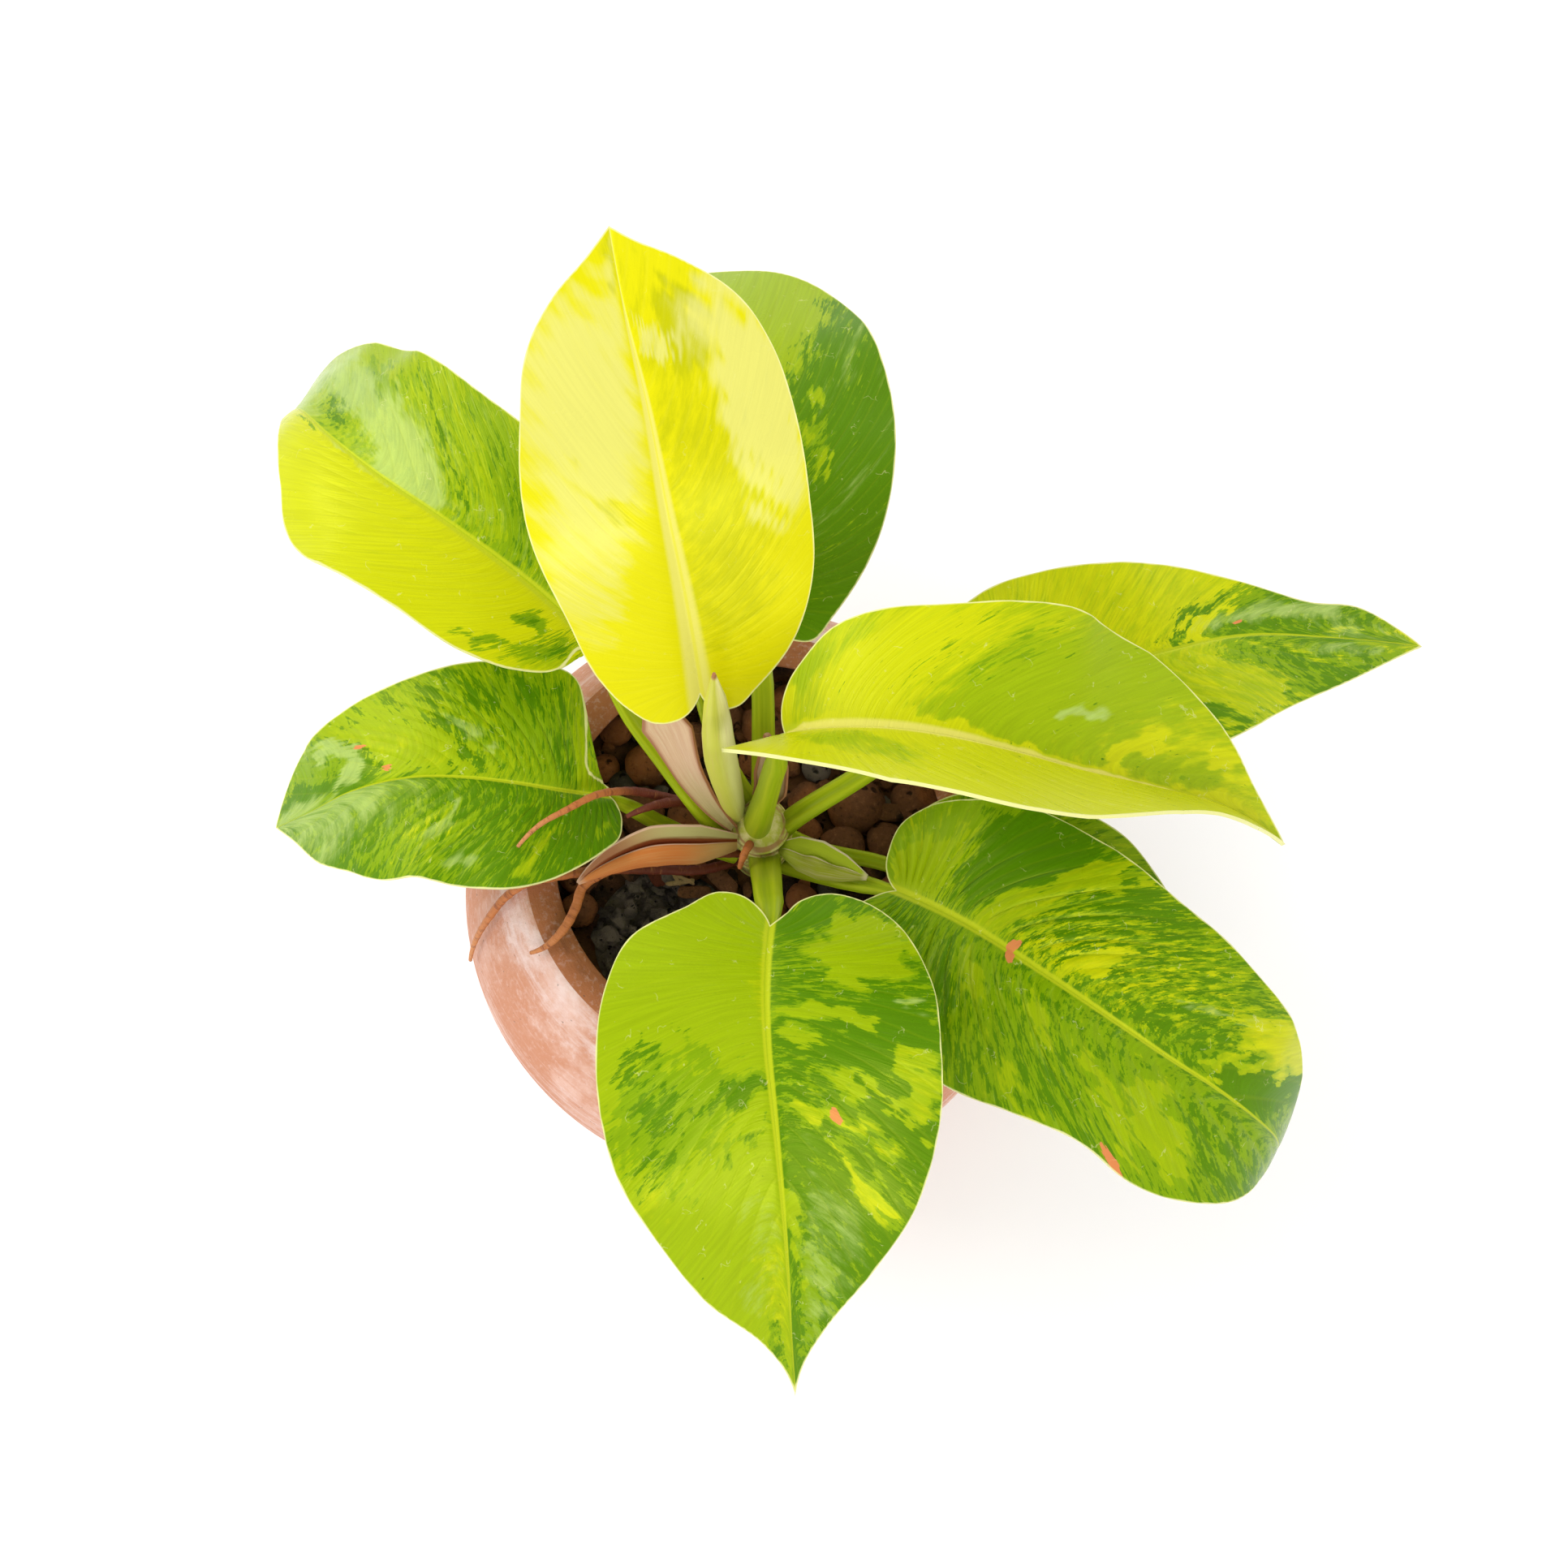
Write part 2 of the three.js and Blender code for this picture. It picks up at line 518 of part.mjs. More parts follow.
// Leaf blade: rows follow the side veins from the midrib to the margin
function leafBlade(leaf) {
  const midrib = smoothPath(leaf.midrib);
  const margins = [leaf.left, leaf.right].map((margin) => smoothPath([[0, 0], ...margin, [midrib.length, 0]]));
  const lifts = [leaf.leftLift, leaf.rightLift];
  const sides = [-1, 1];
  const place = (half, distance, width) => {
    const station = Math.max(distance, 0);
    const share = station / midrib.length;
    const frame = faceFrame(midrib, station, blend(leaf.roll, share));
    const middle = new THREE.Vector3(...midrib.at(station));
    middle.addScaledVector(frame.along, Math.min(distance, 0));
    const fold = blend(lifts[half].fold, share);
    const curl = blend(lifts[half].curl, share);
    const point = bentPoint(middle, frame, sides[half], width, fold, curl);
    const swing = Math.sin(2 * Math.PI * leaf.wave.count * share + leaf.wave.phase + half * 2);
    return point.addScaledVector(frame.out, leaf.wave.height * swing * (width / CURL_REFERENCE) ** 2);
  };
  const columns = [...BLADE_COLUMNS].reverse().map((v) => [0, v]);
  columns.push(...BLADE_COLUMNS.slice(1).map((v) => [1, v]));
  const rows = [];
  for (let i = 0; i <= BLADE_ROWS; i += 1) {
    const even = i / BLADE_ROWS;
    const eased = (1 - Math.cos(Math.PI * even)) / 2;
    const share = even + (eased - even) * MARGIN_EASE;
    const start = midrib.length * share ** MIDRIB_CROWDING;
    rows.push(columns.map(([half, v]) => {
      const [distance, width] = margins[half].at(margins[half].length * share);
      return place(half, start + (distance - start) * v ** VEIN_SWEEP, Math.max(width, 0) * v);
    }));
  }
  const middleColumn = BLADE_COLUMNS.length - 1;
  const keel = (i) => blend(KEEL_DEPTH, (i / BLADE_ROWS) ** KEEL_FADE);
  return closedSheet(rows, () => BLADE_HALF, (i, j) => BLADE_HALF + (j === middleColumn ? keel(i) : 0));
}

// The petiole runs from the stem to the junction, and on as a rib under the blade's base
function petioleTube(leaf, grow = 0) {
  const midrib = smoothPath(leaf.midrib);
  const rib = RIB_POINTS.map(([distance, drop]) => {
    const frame = faceFrame(midrib, distance, leaf.roll[0]);
    return new THREE.Vector3(...midrib.at(distance)).addScaledVector(frame.out, -drop).toArray();
  });
  const { path, width, depth } = leaf.petiole;
  const widths = [...width, width[1] * RIB_NARROWING, RIB_END];
  const depths = [...depth, depth[1] * RIB_NARROWING, RIB_END];
  return taperedTube([...path, ...rib], widths, depths, PETIOLE_SIDES, PETIOLE_STEPS, grow);
}

function leafGeometry(leaf) {
  return toGeometry(joined([toSolid(leafBlade(leaf)), toSolid(petioleTube(leaf))]));
}

// Sheath: an open trough that narrows to its tip
function sheathGeometry(sheath, grow = 0) {
  const line = smoothPath(sheath.line);
  const columns = [...SHEATH_COLUMNS].reverse().map((v) => -v).concat(SHEATH_COLUMNS.slice(1));
  const rows = [];
  for (let i = 0; i <= SHEATH_ROWS; i += 1) {
    const share = i / SHEATH_ROWS;
    const frame = faceFrame(line, line.length * share, blend(sheath.turn, share));
    const middle = new THREE.Vector3(...line.at(line.length * share));
    if (i === 0) middle.addScaledVector(frame.along, -grow);
    const halfWidth = blend(sheath.width, share);
    const curl = blend(sheath.curl, share) * (CURL_REFERENCE / halfWidth);
    const width = halfWidth + grow;
    rows.push(columns.map((v) => {
      const fold = blend(sheath.fold, share);
      return bentPoint(middle, frame, Math.sign(v) || 1, Math.abs(v) * width, fold, curl);
    }));
  }
  return closedSheet(rows, () => SHEATH_HALF + grow, () => SHEATH_HALF + grow);
}

function rootTube(line, radius, grow = 0) {
  const steps = Math.max(2, Math.round(smoothPath(line).length / ROOT_STEP));
  return taperedTube(line, radius, radius, ROOT_SIDES, steps, grow);
}

function rootGeometry(root) {
  const parts = [toSolid(rootTube(root.line, root.radius))];
  if (root.branch) parts.push(toSolid(rootTube(root.branch, ROOT_BRANCH_RADIUS)));
  return toGeometry(joined(parts));
}

function spikeGeometry(grow = 0) {
  return taperedTube(SPIKE.path, SPIKE.width, SPIKE.depth, SPIKE_SIDES, SPIKE_STEPS, grow);
}

// Pot wall radius at a level above the base, moved inwards by an inset
function wallRadius(level, inset) {
  const half = (level < POT_BELLY_LEVEL ? POT_LOWER_HALF : POT_UPPER_HALF) - inset;
  const share = (level - POT_BELLY_LEVEL) / half;
  return (POT_BELLY_RADIUS - inset) * Math.sqrt(1 - share * share);
}

function wallPoints(levels, inset) {
  return levels.map((level) => new THREE.Vector2(wallRadius(level, inset), level));
}

function evenSteps(low, high, steps) {
  return Array.from({ length: steps + 1 }, (_, i) => low + ((high - low) * i) / steps);
}

function cylinderSolid(radius, low, high, sides, x, y) {
  const geometry = new THREE.CylinderGeometry(radius, radius, high - low, sides);
  geometry.rotateX(Math.PI / 2);
  geometry.translate(x, y, (low + high) / 2);
  return toSolid(geometry);
}

function potGeometry() {
  const shoulder = POT_BELLY_LEVEL
    + POT_UPPER_HALF * Math.sqrt(1 - (POT_CREST_RADIUS / POT_BELLY_RADIUS) ** 2);
  const inner = wallPoints(INNER_LEVELS, POT_WALL).reverse();
  const profile = [
    new THREE.Vector2(0, 0),
    ...wallPoints(evenSteps(0, shoulder, POT_OUTER_STEPS), 0),
    ...POT_LIP.map(([radius, drop]) => new THREE.Vector2(radius, POT_HEIGHT - drop)),
    ...inner,
    new THREE.Vector2(0, POT_FLOOR),
  ];
  let pot = toSolid(new THREE.LatheGeometry(profile, POT_SIDES).rotateX(Math.PI / 2));
  for (let i = 0; i < DRAIN_COUNT; i += 1) {
    const angle = (2 * Math.PI * i) / DRAIN_COUNT;
    const [x, y] = [DRAIN_CIRCLE * Math.cos(angle), DRAIN_CIRCLE * Math.sin(angle)];
    pot = pot.subtract(cylinderSolid(DRAIN_RADIUS, -1, POT_FLOOR + 1, DRAIN_SIDES, x, y));
  }
  return toGeometry(pot);
}

function bedGeometry() {
  const low = POT_FLOOR + GAP;
  const high = POT_HEIGHT - BED_DROP;
  const levels = [low, ...INNER_LEVELS.filter((level) => level > low && level <= high)];
  const profile = [
    new THREE.Vector2(0, low),
    ...wallPoints(levels, POT_WALL + GAP),
    new THREE.Vector2(0, high),
  ];
  const bed = toSolid(new THREE.LatheGeometry(profile, BED_SIDES).rotateX(Math.PI / 2));
  const [x, y] = STEM_CENTRE;
  const hole = cylinderSolid(STEM_RADIUS + GAP, RIM + STEM_FOOT - GAP, high + 1, STEM_SIDES, x, y);
  return toGeometry(bed.subtract(hole));
}

// Even draws from 0 to 1 that repeat for the same seed
function seededDraws(seed) {
  let state = seed;
  return () => {
    state = (Math.imul(state, DRAW_FACTOR) + DRAW_ADDEND) >>> 0;
    return state / DRAW_RANGE;
  };
}

// Stones laid by hand first and then wherever a draw finds room
function scatter({ placed, seed, tries, reach, centre, small, large, spacing, allowed }) {
  const draw = seededDraws(seed);
  const stones = placed.map(([x, y, radius]) => ({ x, y, radius }));
  for (let i = 0; i < tries; i += 1) {
    const angle = 2 * Math.PI * draw();
    const distance = reach * Math.sqrt(draw());
    const radius = small + (large - small) * draw();
    const x = centre[0] + distance * Math.cos(angle);
    const y = centre[1] + distance * Math.sin(angle);
    const free = stones.every((s) => Math.hypot(s.x - x, s.y - y) > spacing * (s.radius + radius));
    if (free && allowed(x, y, radius)) stones.push({ x, y, radius });
  }
  return stones;
}

function stoneSolid({ x, y, radius }, level, stoneShape) {
  const stone = stoneShape(radius);
  stone.rotateX(x);
  stone.rotateZ(y);
  stone.scale(1, 1, STONE_FLATNESS);
  stone.translate(x, y, level);
  return toSolid(stone);
}

// A layer of stones on the bed, cut by the stem and held inside the wall
function stoneLayer(stones, layer, centreDrop, sink, stoneShape) {
  const level = (stone) => -centreDrop - sink * (PEBBLE_MAX - stone.radius);
  const heap = joined([layer, ...stones.map((stone) => stoneSolid(stone, level(stone), stoneShape))]);
  const low = RIM - BED_DROP + GAP;
  const levels = [low, ...INNER_LEVELS.filter((level) => level > low)];
  const profile = [
    new THREE.Vector2(0, low),
    ...wallPoints(levels, POT_WALL + GAP),
    new THREE.Vector2(0, levels[levels.length - 1]),
  ];
  const inside = new THREE.LatheGeometry(profile, BED_SIDES).rotateX(Math.PI / 2);
  const room = toSolid(inside.translate(0, 0, -RIM));
  const [x, y] = STEM_CENTRE;
  const stemRoom = cylinderSolid(STEM_RADIUS + 2 * GAP, -BED_DROP - 1, 1, STEM_SIDES, x, y);
  return heap.intersect(room).subtract(stemRoom);
}

function gritZone(radius, low, high) {
  return cylinderSolid(radius, low, high, GRIT_LAYER_SIDES, GRIT_PLACE[0], GRIT_PLACE[1]);
}

function pebbleGeometry() {
  const clearOf = (x, y, [placeX, placeY], distance) => Math.hypot(x - placeX, y - placeY) > distance;
  const stones = scatter({
    placed: SEEN_PEBBLES,
    seed: PEBBLE_SEED,
    tries: PEBBLE_TRIES,
    reach: PEBBLE_REACH,
    centre: [0, 0],
    small: PEBBLE_MIN,
    large: PEBBLE_MAX,
    spacing: PEBBLE_SPACING,
    allowed: (x, y, radius) => clearOf(x, y, STEM_CENTRE, STEM_CLEAR_RADIUS + radius * STEM_CLEAR_SHARE)
      && clearOf(x, y, GRIT_PLACE, GRIT_REACH + radius),
  });
  const layer = cylinderSolid(PEBBLE_LAYER_RADIUS, -BED_DROP, -PEBBLE_LAYER_DROP, PEBBLE_LAYER_SIDES, 0, 0);
  const round = (radius) => new THREE.DodecahedronGeometry(radius * PEBBLE_SWELL);
  const whole = stoneLayer(stones, layer, PEBBLE_CENTRE_DROP, PEBBLE_SINK, round);
  return toGeometry(whole.subtract(gritZone(GRIT_REACH, -BED_DROP - 1, 1)));
}

function gritGeometry() {
  const reach = GRIT_REACH - GAP;
  const stones = scatter({
    placed: [],
    seed: GRIT_SEED,
    tries: GRIT_TRIES,
    reach: reach - 2,
    centre: GRIT_PLACE,
    small: GRIT_MIN,
    large: GRIT_MAX,
    spacing: GRIT_SPACING,
    allowed: () => true,
  });
  const layer = gritZone(reach, -BED_DROP, -GRIT_LAYER_DROP);
  const sharp = (radius) => new THREE.IcosahedronGeometry(radius, 0);
  const whole = stoneLayer(stones, layer, GRIT_CENTRE_DROP, 0, sharp);
  return toGeometry(whole.intersect(gritZone(reach, -BED_DROP - 1, 1)));
}

// The stem has a socket for the foot of everything that grows from it
function stemGeometry() {
  const profile = [
    new THREE.Vector2(0, STEM_FOOT),
    ...STEM_PROFILE.map(([share, level]) => new THREE.Vector2(STEM_RADIUS * share, level)),
    new THREE.Vector2(0, STEM_PROFILE[STEM_PROFILE.length - 1][1]),
  ];
  const column = new THREE.LatheGeometry(profile, STEM_SIDES).rotateX(Math.PI / 2);
  let stem = toSolid(column.translate(STEM_CENTRE[0], STEM_CENTRE[1], 0));
  LEAVES.forEach((leaf) => {
    stem = stem.subtract(toSolid(petioleTube(leaf, GAP)));
  });
  SHEATHS.forEach((sheath) => {
    stem = stem.subtract(toSolid(sheathGeometry(sheath, GAP)));
  });
  ROOTS.forEach((root) => {
    stem = stem.subtract(toSolid(rootTube(root.line, root.radius, GAP)));
  });
  return toGeometry(stem.subtract(toSolid(spikeGeometry(GAP))));
}

function named(name, geometry, [colour, roughness]) {
  const material = new THREE.MeshStandardMaterial({ color: colour, roughness, metalness: 0 });
  const mesh = new THREE.Mesh(geometry, material);
  mesh.name = name;
  return mesh;
}

const whole = new THREE.Group();
whole.add(named("pot", potGeometry(), FINISHES.pot));
whole.add(named("potting_bed", bedGeometry(), FINISHES.bed));

const plant = new THREE.Group();
plant.position.z = RIM;
plant.add(named("clay_pebbles", pebbleGeometry(), FINISHES.pebbles));
plant.add(named("lava_grit", gritGeometry(), FINISHES.grit));
plant.add(named("plant_stem", stemGeometry(), FINISHES.stem));
LEAVES.forEach((leaf) => plant.add(named(leaf.name, leafGeometry(leaf), [leaf.colour, BLADE_ROUGHNESS])));
plant.add(named("new_leaf_spike", spikeGeometry(), [SPIKE.colour, SPIKE_ROUGHNESS]));
SHEATHS.forEach((sheath) => {
  plant.add(named(sheath.name, sheathGeometry(sheath), [sheath.colour, SHEATH_ROUGHNESS]));
});
ROOTS.forEach((root) => plant.add(named(root.name, rootGeometry(root), [root.colour, ROOT_ROUGHNESS])));
whole.add(plant);

export default whole;
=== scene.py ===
"""Potted variegated moonlight philodendron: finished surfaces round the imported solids.

Places and sizes are in millimetres until a mesh gets them. The pot is measured from its base, and
the plant from the level of the pot's rim.
"""

import math

import bpy
import numpy as np
from bpy.props import FloatProperty, FloatVectorProperty, IntProperty, PointerProperty
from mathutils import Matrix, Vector


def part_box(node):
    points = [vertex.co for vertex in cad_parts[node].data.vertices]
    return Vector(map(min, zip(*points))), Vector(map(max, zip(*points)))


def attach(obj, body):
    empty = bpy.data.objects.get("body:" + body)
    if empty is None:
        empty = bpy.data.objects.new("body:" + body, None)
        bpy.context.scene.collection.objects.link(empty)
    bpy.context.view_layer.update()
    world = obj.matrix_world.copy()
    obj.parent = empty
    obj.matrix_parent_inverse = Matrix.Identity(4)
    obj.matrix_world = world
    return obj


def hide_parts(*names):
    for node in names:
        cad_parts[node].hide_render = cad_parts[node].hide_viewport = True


bl_info = {
    "name": "Potted Philodendron",
    "version": (1, 0, 0),
    "blender": (4, 5, 0),
    "location": "3D View > Sidebar > Philodendron",
    "description": "Models a variegated philodendron in its terracotta pot",
    "category": "Object",
}

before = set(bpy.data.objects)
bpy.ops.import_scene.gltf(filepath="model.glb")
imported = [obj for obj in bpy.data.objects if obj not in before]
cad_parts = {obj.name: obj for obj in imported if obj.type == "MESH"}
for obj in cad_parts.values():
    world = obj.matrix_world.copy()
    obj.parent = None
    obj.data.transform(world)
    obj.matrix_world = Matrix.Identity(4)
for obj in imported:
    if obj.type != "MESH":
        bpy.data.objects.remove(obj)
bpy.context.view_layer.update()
MM = 0.001
BODY = "root"
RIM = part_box("pot")[1].z / MM
UPWARDS = np.array([0.0, 0.0, 1.0])
# Vertices closer than this, in metres, become one
DOUBLE = 1e-6
# Largest angle between faces, in degrees, over which the shading stays smooth
SMOOTH_BELOW = 40
# Step for the direction of a path, as a share of its length, and the least bend that counts
PATH_NUDGE = 1e-4
NO_BEND = 1e-6

# Blade formulas, as in the solids
CURL_REFERENCE = 36
VEIN_SWEEP = 1.6
MIDRIB_CROWDING = (1.8, 2.6)
MARGIN_EASE = 0.35
SHEEN = (1, 1, 0.12)
KEEL_DEPTH = [1.7, 0.2]
KEEL_FADE = 0.7
KEEL_HALF_WIDTH = 1.5
RIB_POINTS = [(0, 1.5), (7, 1.2)]
RIB_NARROWING = 0.92
RIB_END = 0.9
# Angle round the middle of a petiole's channel in which it deepens, in radians
CHANNEL_ANGLE = 0.5
# Stations along a tube at which its level direction is worked out
TUBE_STATIONS = 201

# Finer form of the blades. Columns of faces crowd towards the midrib.
COLUMN_CROWDING = 1.25
MARGIN_SAMPLES = 400
# Share of the midrib at which it reaches its tip width
RIB_TAPER_END = 0.85
# Millimetres from the midrib over which the relief rises, and the power by which it fades outwards
RELIEF_RISE = 4
RELIEF_FADE = 4
# Half width of a side vein, as a share of the space between two
VEIN_HALF_WIDTH = 0.12
GROOVE_DEPTH = 0.35
GROOVE_FADE = 0.6
# Share of the way along up to which the streaks lean less, their stretch, and how far the halves lie apart
LEAN_END = 0.6
VEIN_STRETCH = 1.25
HALF_APART = 300

# Leaves, newest first. The midrib runs from the petiole's junction to the tip, and a margin is given
# by its distance along the midrib and from it. Lift holds a half's folds and curls in degrees.
# Relief is the depth of the side veins and the height of the quilting between them.
LEAVES = [
    {
        "name": "leaf_newest",
        "midrib": [(-10.5, 15.5, 74), (-13.5, 31.5, 89), (-17.5, 49, 104), (-21.5, 68.5, 115),
                   (-26, 87, 121), (-30, 108, 123)],
        "left": [(-5, 5), (-5, 11), (0, 17), (8, 22), (26, 27), (47, 31), (70, 28), (83, 24), (95, 15),
                 (103, 6)],
        "right": [(-4, 3), (-4, 8), (0, 13), (10, 23), (25, 30), (42, 32), (61, 32), (75, 30), (88, 25),
                  (99, 14), (106, 4)],
        "roll": (0, 0), "lift": [((8, 4), (-14, -10)), ((8, 4), (-14, -10))], "wave": (0.5, 2, 0.4),
        "petiole": [(-1, 10.3, 7), (-6, 13, 34), (-9, 15, 58)], "petiole_width": (3.3, 2.6),
        "petiole_depth": (2.2, 1.9), "rib": (3.2, 0.3), "lean": 0, "channel": 0.1, "relief": (0.01, 0.01),
    },
    {
        "name": "leaf_right",
        "midrib": [(9, 2.5, 84), (19.5, 1.5, 92), (35, -0.5, 97), (47.5, -3, 98), (60, -5.5, 96),
                   (73, -8, 92), (88.5, -9.5, 85), (109.5, -12, 74), (124, -17, 62)],
        "left": [(-1, 6), (1, 12), (5, 17), (11, 23), (20, 27), (33, 30), (50, 34), (63, 36), (78, 34),
                 (91, 29), (103, 20), (116, 7)],
        "right": [(-3, 3), (-8, 6), (-7, 12), (1, 21), (15, 28), (36, 31), (50, 32), (64, 28), (77, 23),
                  (90, 18), (104, 14), (117, 6)],
        "roll": (25, 25), "lift": [((30, 26), (-6, -6)), ((39, 25, 27, 36, 34), (0, 0))],
        "wave": (0.6, 2.5, 1.2), "petiole": [(1.8, 2.8, 9), (4.5, 3, 35), (7, 2.6, 62)],
        "petiole_width": (4.3, 3.8), "petiole_depth": (3.6, 2.7), "rib": (2.3, 0.5), "lean": 0.08,
        "channel": 0, "relief": (0.04, 0.04),
    },
    {
        "name": "leaf_back",
        "midrib": [(3.5, 42, 52), (4, 63, 60), (1.5, 88.5, 60), (-4.5, 118, 50), (-12, 147.5, 30)],
        "left": [(-4, 6), (-5, 12), (1, 19), (14, 27), (32, 33), (55, 35), (75, 33), (92, 26), (104, 16),
                 (111, 7)],
        "right": [(-4, 7), (-4, 12), (2, 17), (14, 25), (32, 32), (59, 35), (82, 32), (96, 25), (106, 16),
                  (112, 7)],
        "roll": (0, 0), "lift": [((6, 4), (-14, -14)), ((6, 4), (-14, -14))], "wave": (1, 3, 0.8),
        "petiole": [(3.5, 6, -6), (3.5, 13, 2), (3.6, 26, 28)], "petiole_width": (3.4, 3),
        "petiole_depth": (2.6, 2.3), "rib": (1.8, 0.4), "lean": 0.04, "channel": 0.3,
        "relief": (0.08, 0.08),
    },
    {
        "name": "leaf_front",
        "midrib": [(5.5, -32, 45), (4.5, -52, 49), (5, -62, 48), (6.5, -76, 44), (8, -90.5, 38),
                   (9.5, -107.5, 28), (10.5, -123, 16), (11.5, -137.5, 2)],
        "left": [(-3, 3), (-7, 6), (-10, 13), (-9, 20), (-3, 30), (11, 38), (34, 40), (52, 38), (70, 31),
                 (85, 20), (100, 8), (110, 2.5)],
        "right": [(-4, 3), (-7, 8), (-7, 13), (-1, 21), (7, 33), (16, 37), (34, 40), (55, 38), (73, 30),
                  (90, 20), (103, 7), (112, 2)],
        "roll": (0, 0), "lift": [((8, 4), (-14, -14)), ((8, 4), (-14, -14))], "wave": (1, 3, 2.2),
        "petiole": [(3.8, -3.5, 0), (4.1, -8.2, 7), (4.8, -19, 27)], "petiole_width": (4.2, 3.8),
        "petiole_depth": (2.6, 2.4), "rib": (1.5, 0.3), "lean": 0.12, "channel": 0.35,
        "relief": (0.07, 0.1),
    },
    {
        "name": "leaf_upper_left",
        "midrib": [(-36, 33, 56), (-48, 44, 62), (-59, 52, 66), (-73, 62, 68), (-88.5, 73.5, 67),
                   (-101.5, 85.5, 63), (-110.5, 96.5, 54), (-114.5, 101.5, 43), (-116, 103, 32)],
        "left": [(3, 3), (3, 11), (11, 19), (25, 24), (43, 25), (57, 26), (67, 27), (77, 24), (86, 17),
                 (95, 11), (108, 5)],
        "right": [(-2, 4), (-2, 12), (6, 20), (22, 27), (48, 30), (76, 31), (91, 29), (104, 25), (117, 17)],
        "roll": (0, 0),
        "lift": [((14, 12, 10, 6, 0), (-10, -10, -10, -90, -130)),
                 ((14, 12, 10, 8, 22), (-10, -10, -10, -10, -10))],
        "wave": (1.2, 3, 0), "petiole": [(-4.4, 0.8, 2), (-8.9, 3, 10), (-20.5, 13, 30), (-31, 24, 48)],
        "petiole_width": (2.9, 2.8), "petiole_depth": (1.9, 1.8), "rib": (1.7, 0.4), "lean": 0.1,
        "channel": 0.25, "relief": (0.05, 0.08),
    },
    {
        "name": "leaf_far_right",
        "midrib": [(53, 23, 44), (73.5, 26.5, 52), (98.5, 33.5, 52), (119.5, 40.5, 45), (147.5, 44, 34),
                   (170, 45.5, 24)],
        "left": [(-4, 5), (-5, 13), (0, 21), (10, 26), (28, 27), (42, 25), (60, 21), (75, 14), (92, 9),
                 (108, 8.5), (119, 4)],
        "right": [(-4, 5), (-5, 13), (2, 20), (18, 27), (38, 29), (55, 26), (70, 23), (88, 17), (105, 10),
                  (118, 4)],
        "roll": (0, 0), "lift": [((10, 4), (-10, -16)), ((10, 4), (-10, -16))], "wave": (1.2, 3, 1.6),
        "petiole": [(7.5, 3.5, 1), (10.2, 4.2, 8), (30, 12, 27), (43, 18.5, 38)],
        "petiole_width": (3.1, 2.9), "petiole_depth": (2.6, 2.3), "rib": (1.1, 0.3), "lean": 0.15,
        "channel": 0.35, "relief": (0.06, 0.07),
    },
    {
        "name": "leaf_left",
        "midrib": [(-34.5, 7, 20), (-46.5, 7, 26), (-57.5, 8, 29), (-68.5, 9, 30), (-82, 9.5, 29),
                   (-99, 7.5, 23), (-109.5, 5, 15), (-121, 3.5, 4)],
        "left": [(-2, 4), (-1, 11), (3, 15), (9, 20), (21, 27), (34, 28), (48, 26), (60, 25), (70, 21),
                 (80, 15), (90, 5)],
        "right": [(1, 2), (7, 6), (8, 12), (9, 21), (12, 28), (20, 31), (36, 30), (54, 25), (71, 19),
                  (83, 15), (91, 8)],
        "roll": (0, 0), "lift": [((10, 4), (-10, -20)), ((10, 4), (-10, -20))], "wave": (1.3, 3.5, 2.8),
        "petiole": [(-4, -0.5, -6), (-12, 0.5, 0), (-22, 3, 9)], "petiole_width": (2.6, 2.4),
        "petiole_depth": (2.2, 2), "rib": (0.8, 0.25), "lean": 0.25, "channel": 0.25, "relief": (0.12, 0.2),
    },
    {
        "name": "leaf_lower_right",
        "midrib": [(36.5, -16, 16), (52.5, -26, 24), (72, -40, 28), (90.5, -52.5, 26), (102, -59.5, 22),
                   (112, -65, 18), (123.5, -71.5, 10), (131, -75, -2), (133, -76, -14)],
        "left": [(-5, 4), (-7, 10), (-7, 16), (-3, 22), (8, 29), (21, 34), (38, 35), (60, 34), (80, 32),
                 (94, 29), (107, 26), (118, 22), (128, 12)],
        "right": [(-5, 5), (-8, 12), (-6, 20), (4, 28), (20, 35), (40, 37), (56, 33), (71, 30), (87, 31),
                  (98, 29), (110, 23), (122, 13), (130, 5)],
        "roll": (0, 0), "lift": [((10, 8, 0), (-12, -12, -12)), ((10, 8, 0), (-12, -12, -12))],
        "wave": (1.3, 3.5, 0.6), "petiole": [(8, -1, -13), (13, -4.5, -6), (22, -10, 5)],
        "petiole_width": (2.8, 2.6), "petiole_depth": (2.4, 2.2), "rib": (1.6, 0.4), "lean": 0.1,
        "channel": 0.25, "relief": (0.19, 0.34),
    },
    {
        "name": "leaf_low_right",
        "midrib": [(45, -8.5, 4), (63, -11, 9), (81.5, -16, 8), (98.5, -22.5, 2), (112.5, -31, -6)],
        "left": [(-4, 5), (-3, 14), (5, 20), (20, 21), (34, 22), (46, 20), (55, 15), (66, 8)],
        "right": [(-4, 5), (-3, 13), (5, 19), (20, 22), (36, 22), (50, 18), (60, 12), (69, 5)],
        "roll": (0, 0), "lift": [((8, 4), (-10, -14)), ((8, 4), (-10, -14))], "wave": (0.9, 2.5, 1),
        "petiole": [(8.5, 5.5, -8), (17, 0.5, -4.5), (32, -4.5, 1.5)], "petiole_width": (2.4, 2.1),
        "petiole_depth": (2.1, 1.9), "rib": (1.5, 0.4), "lean": 0.1, "channel": 0.25,
        "relief": (0.06, 0.07),
    },
]

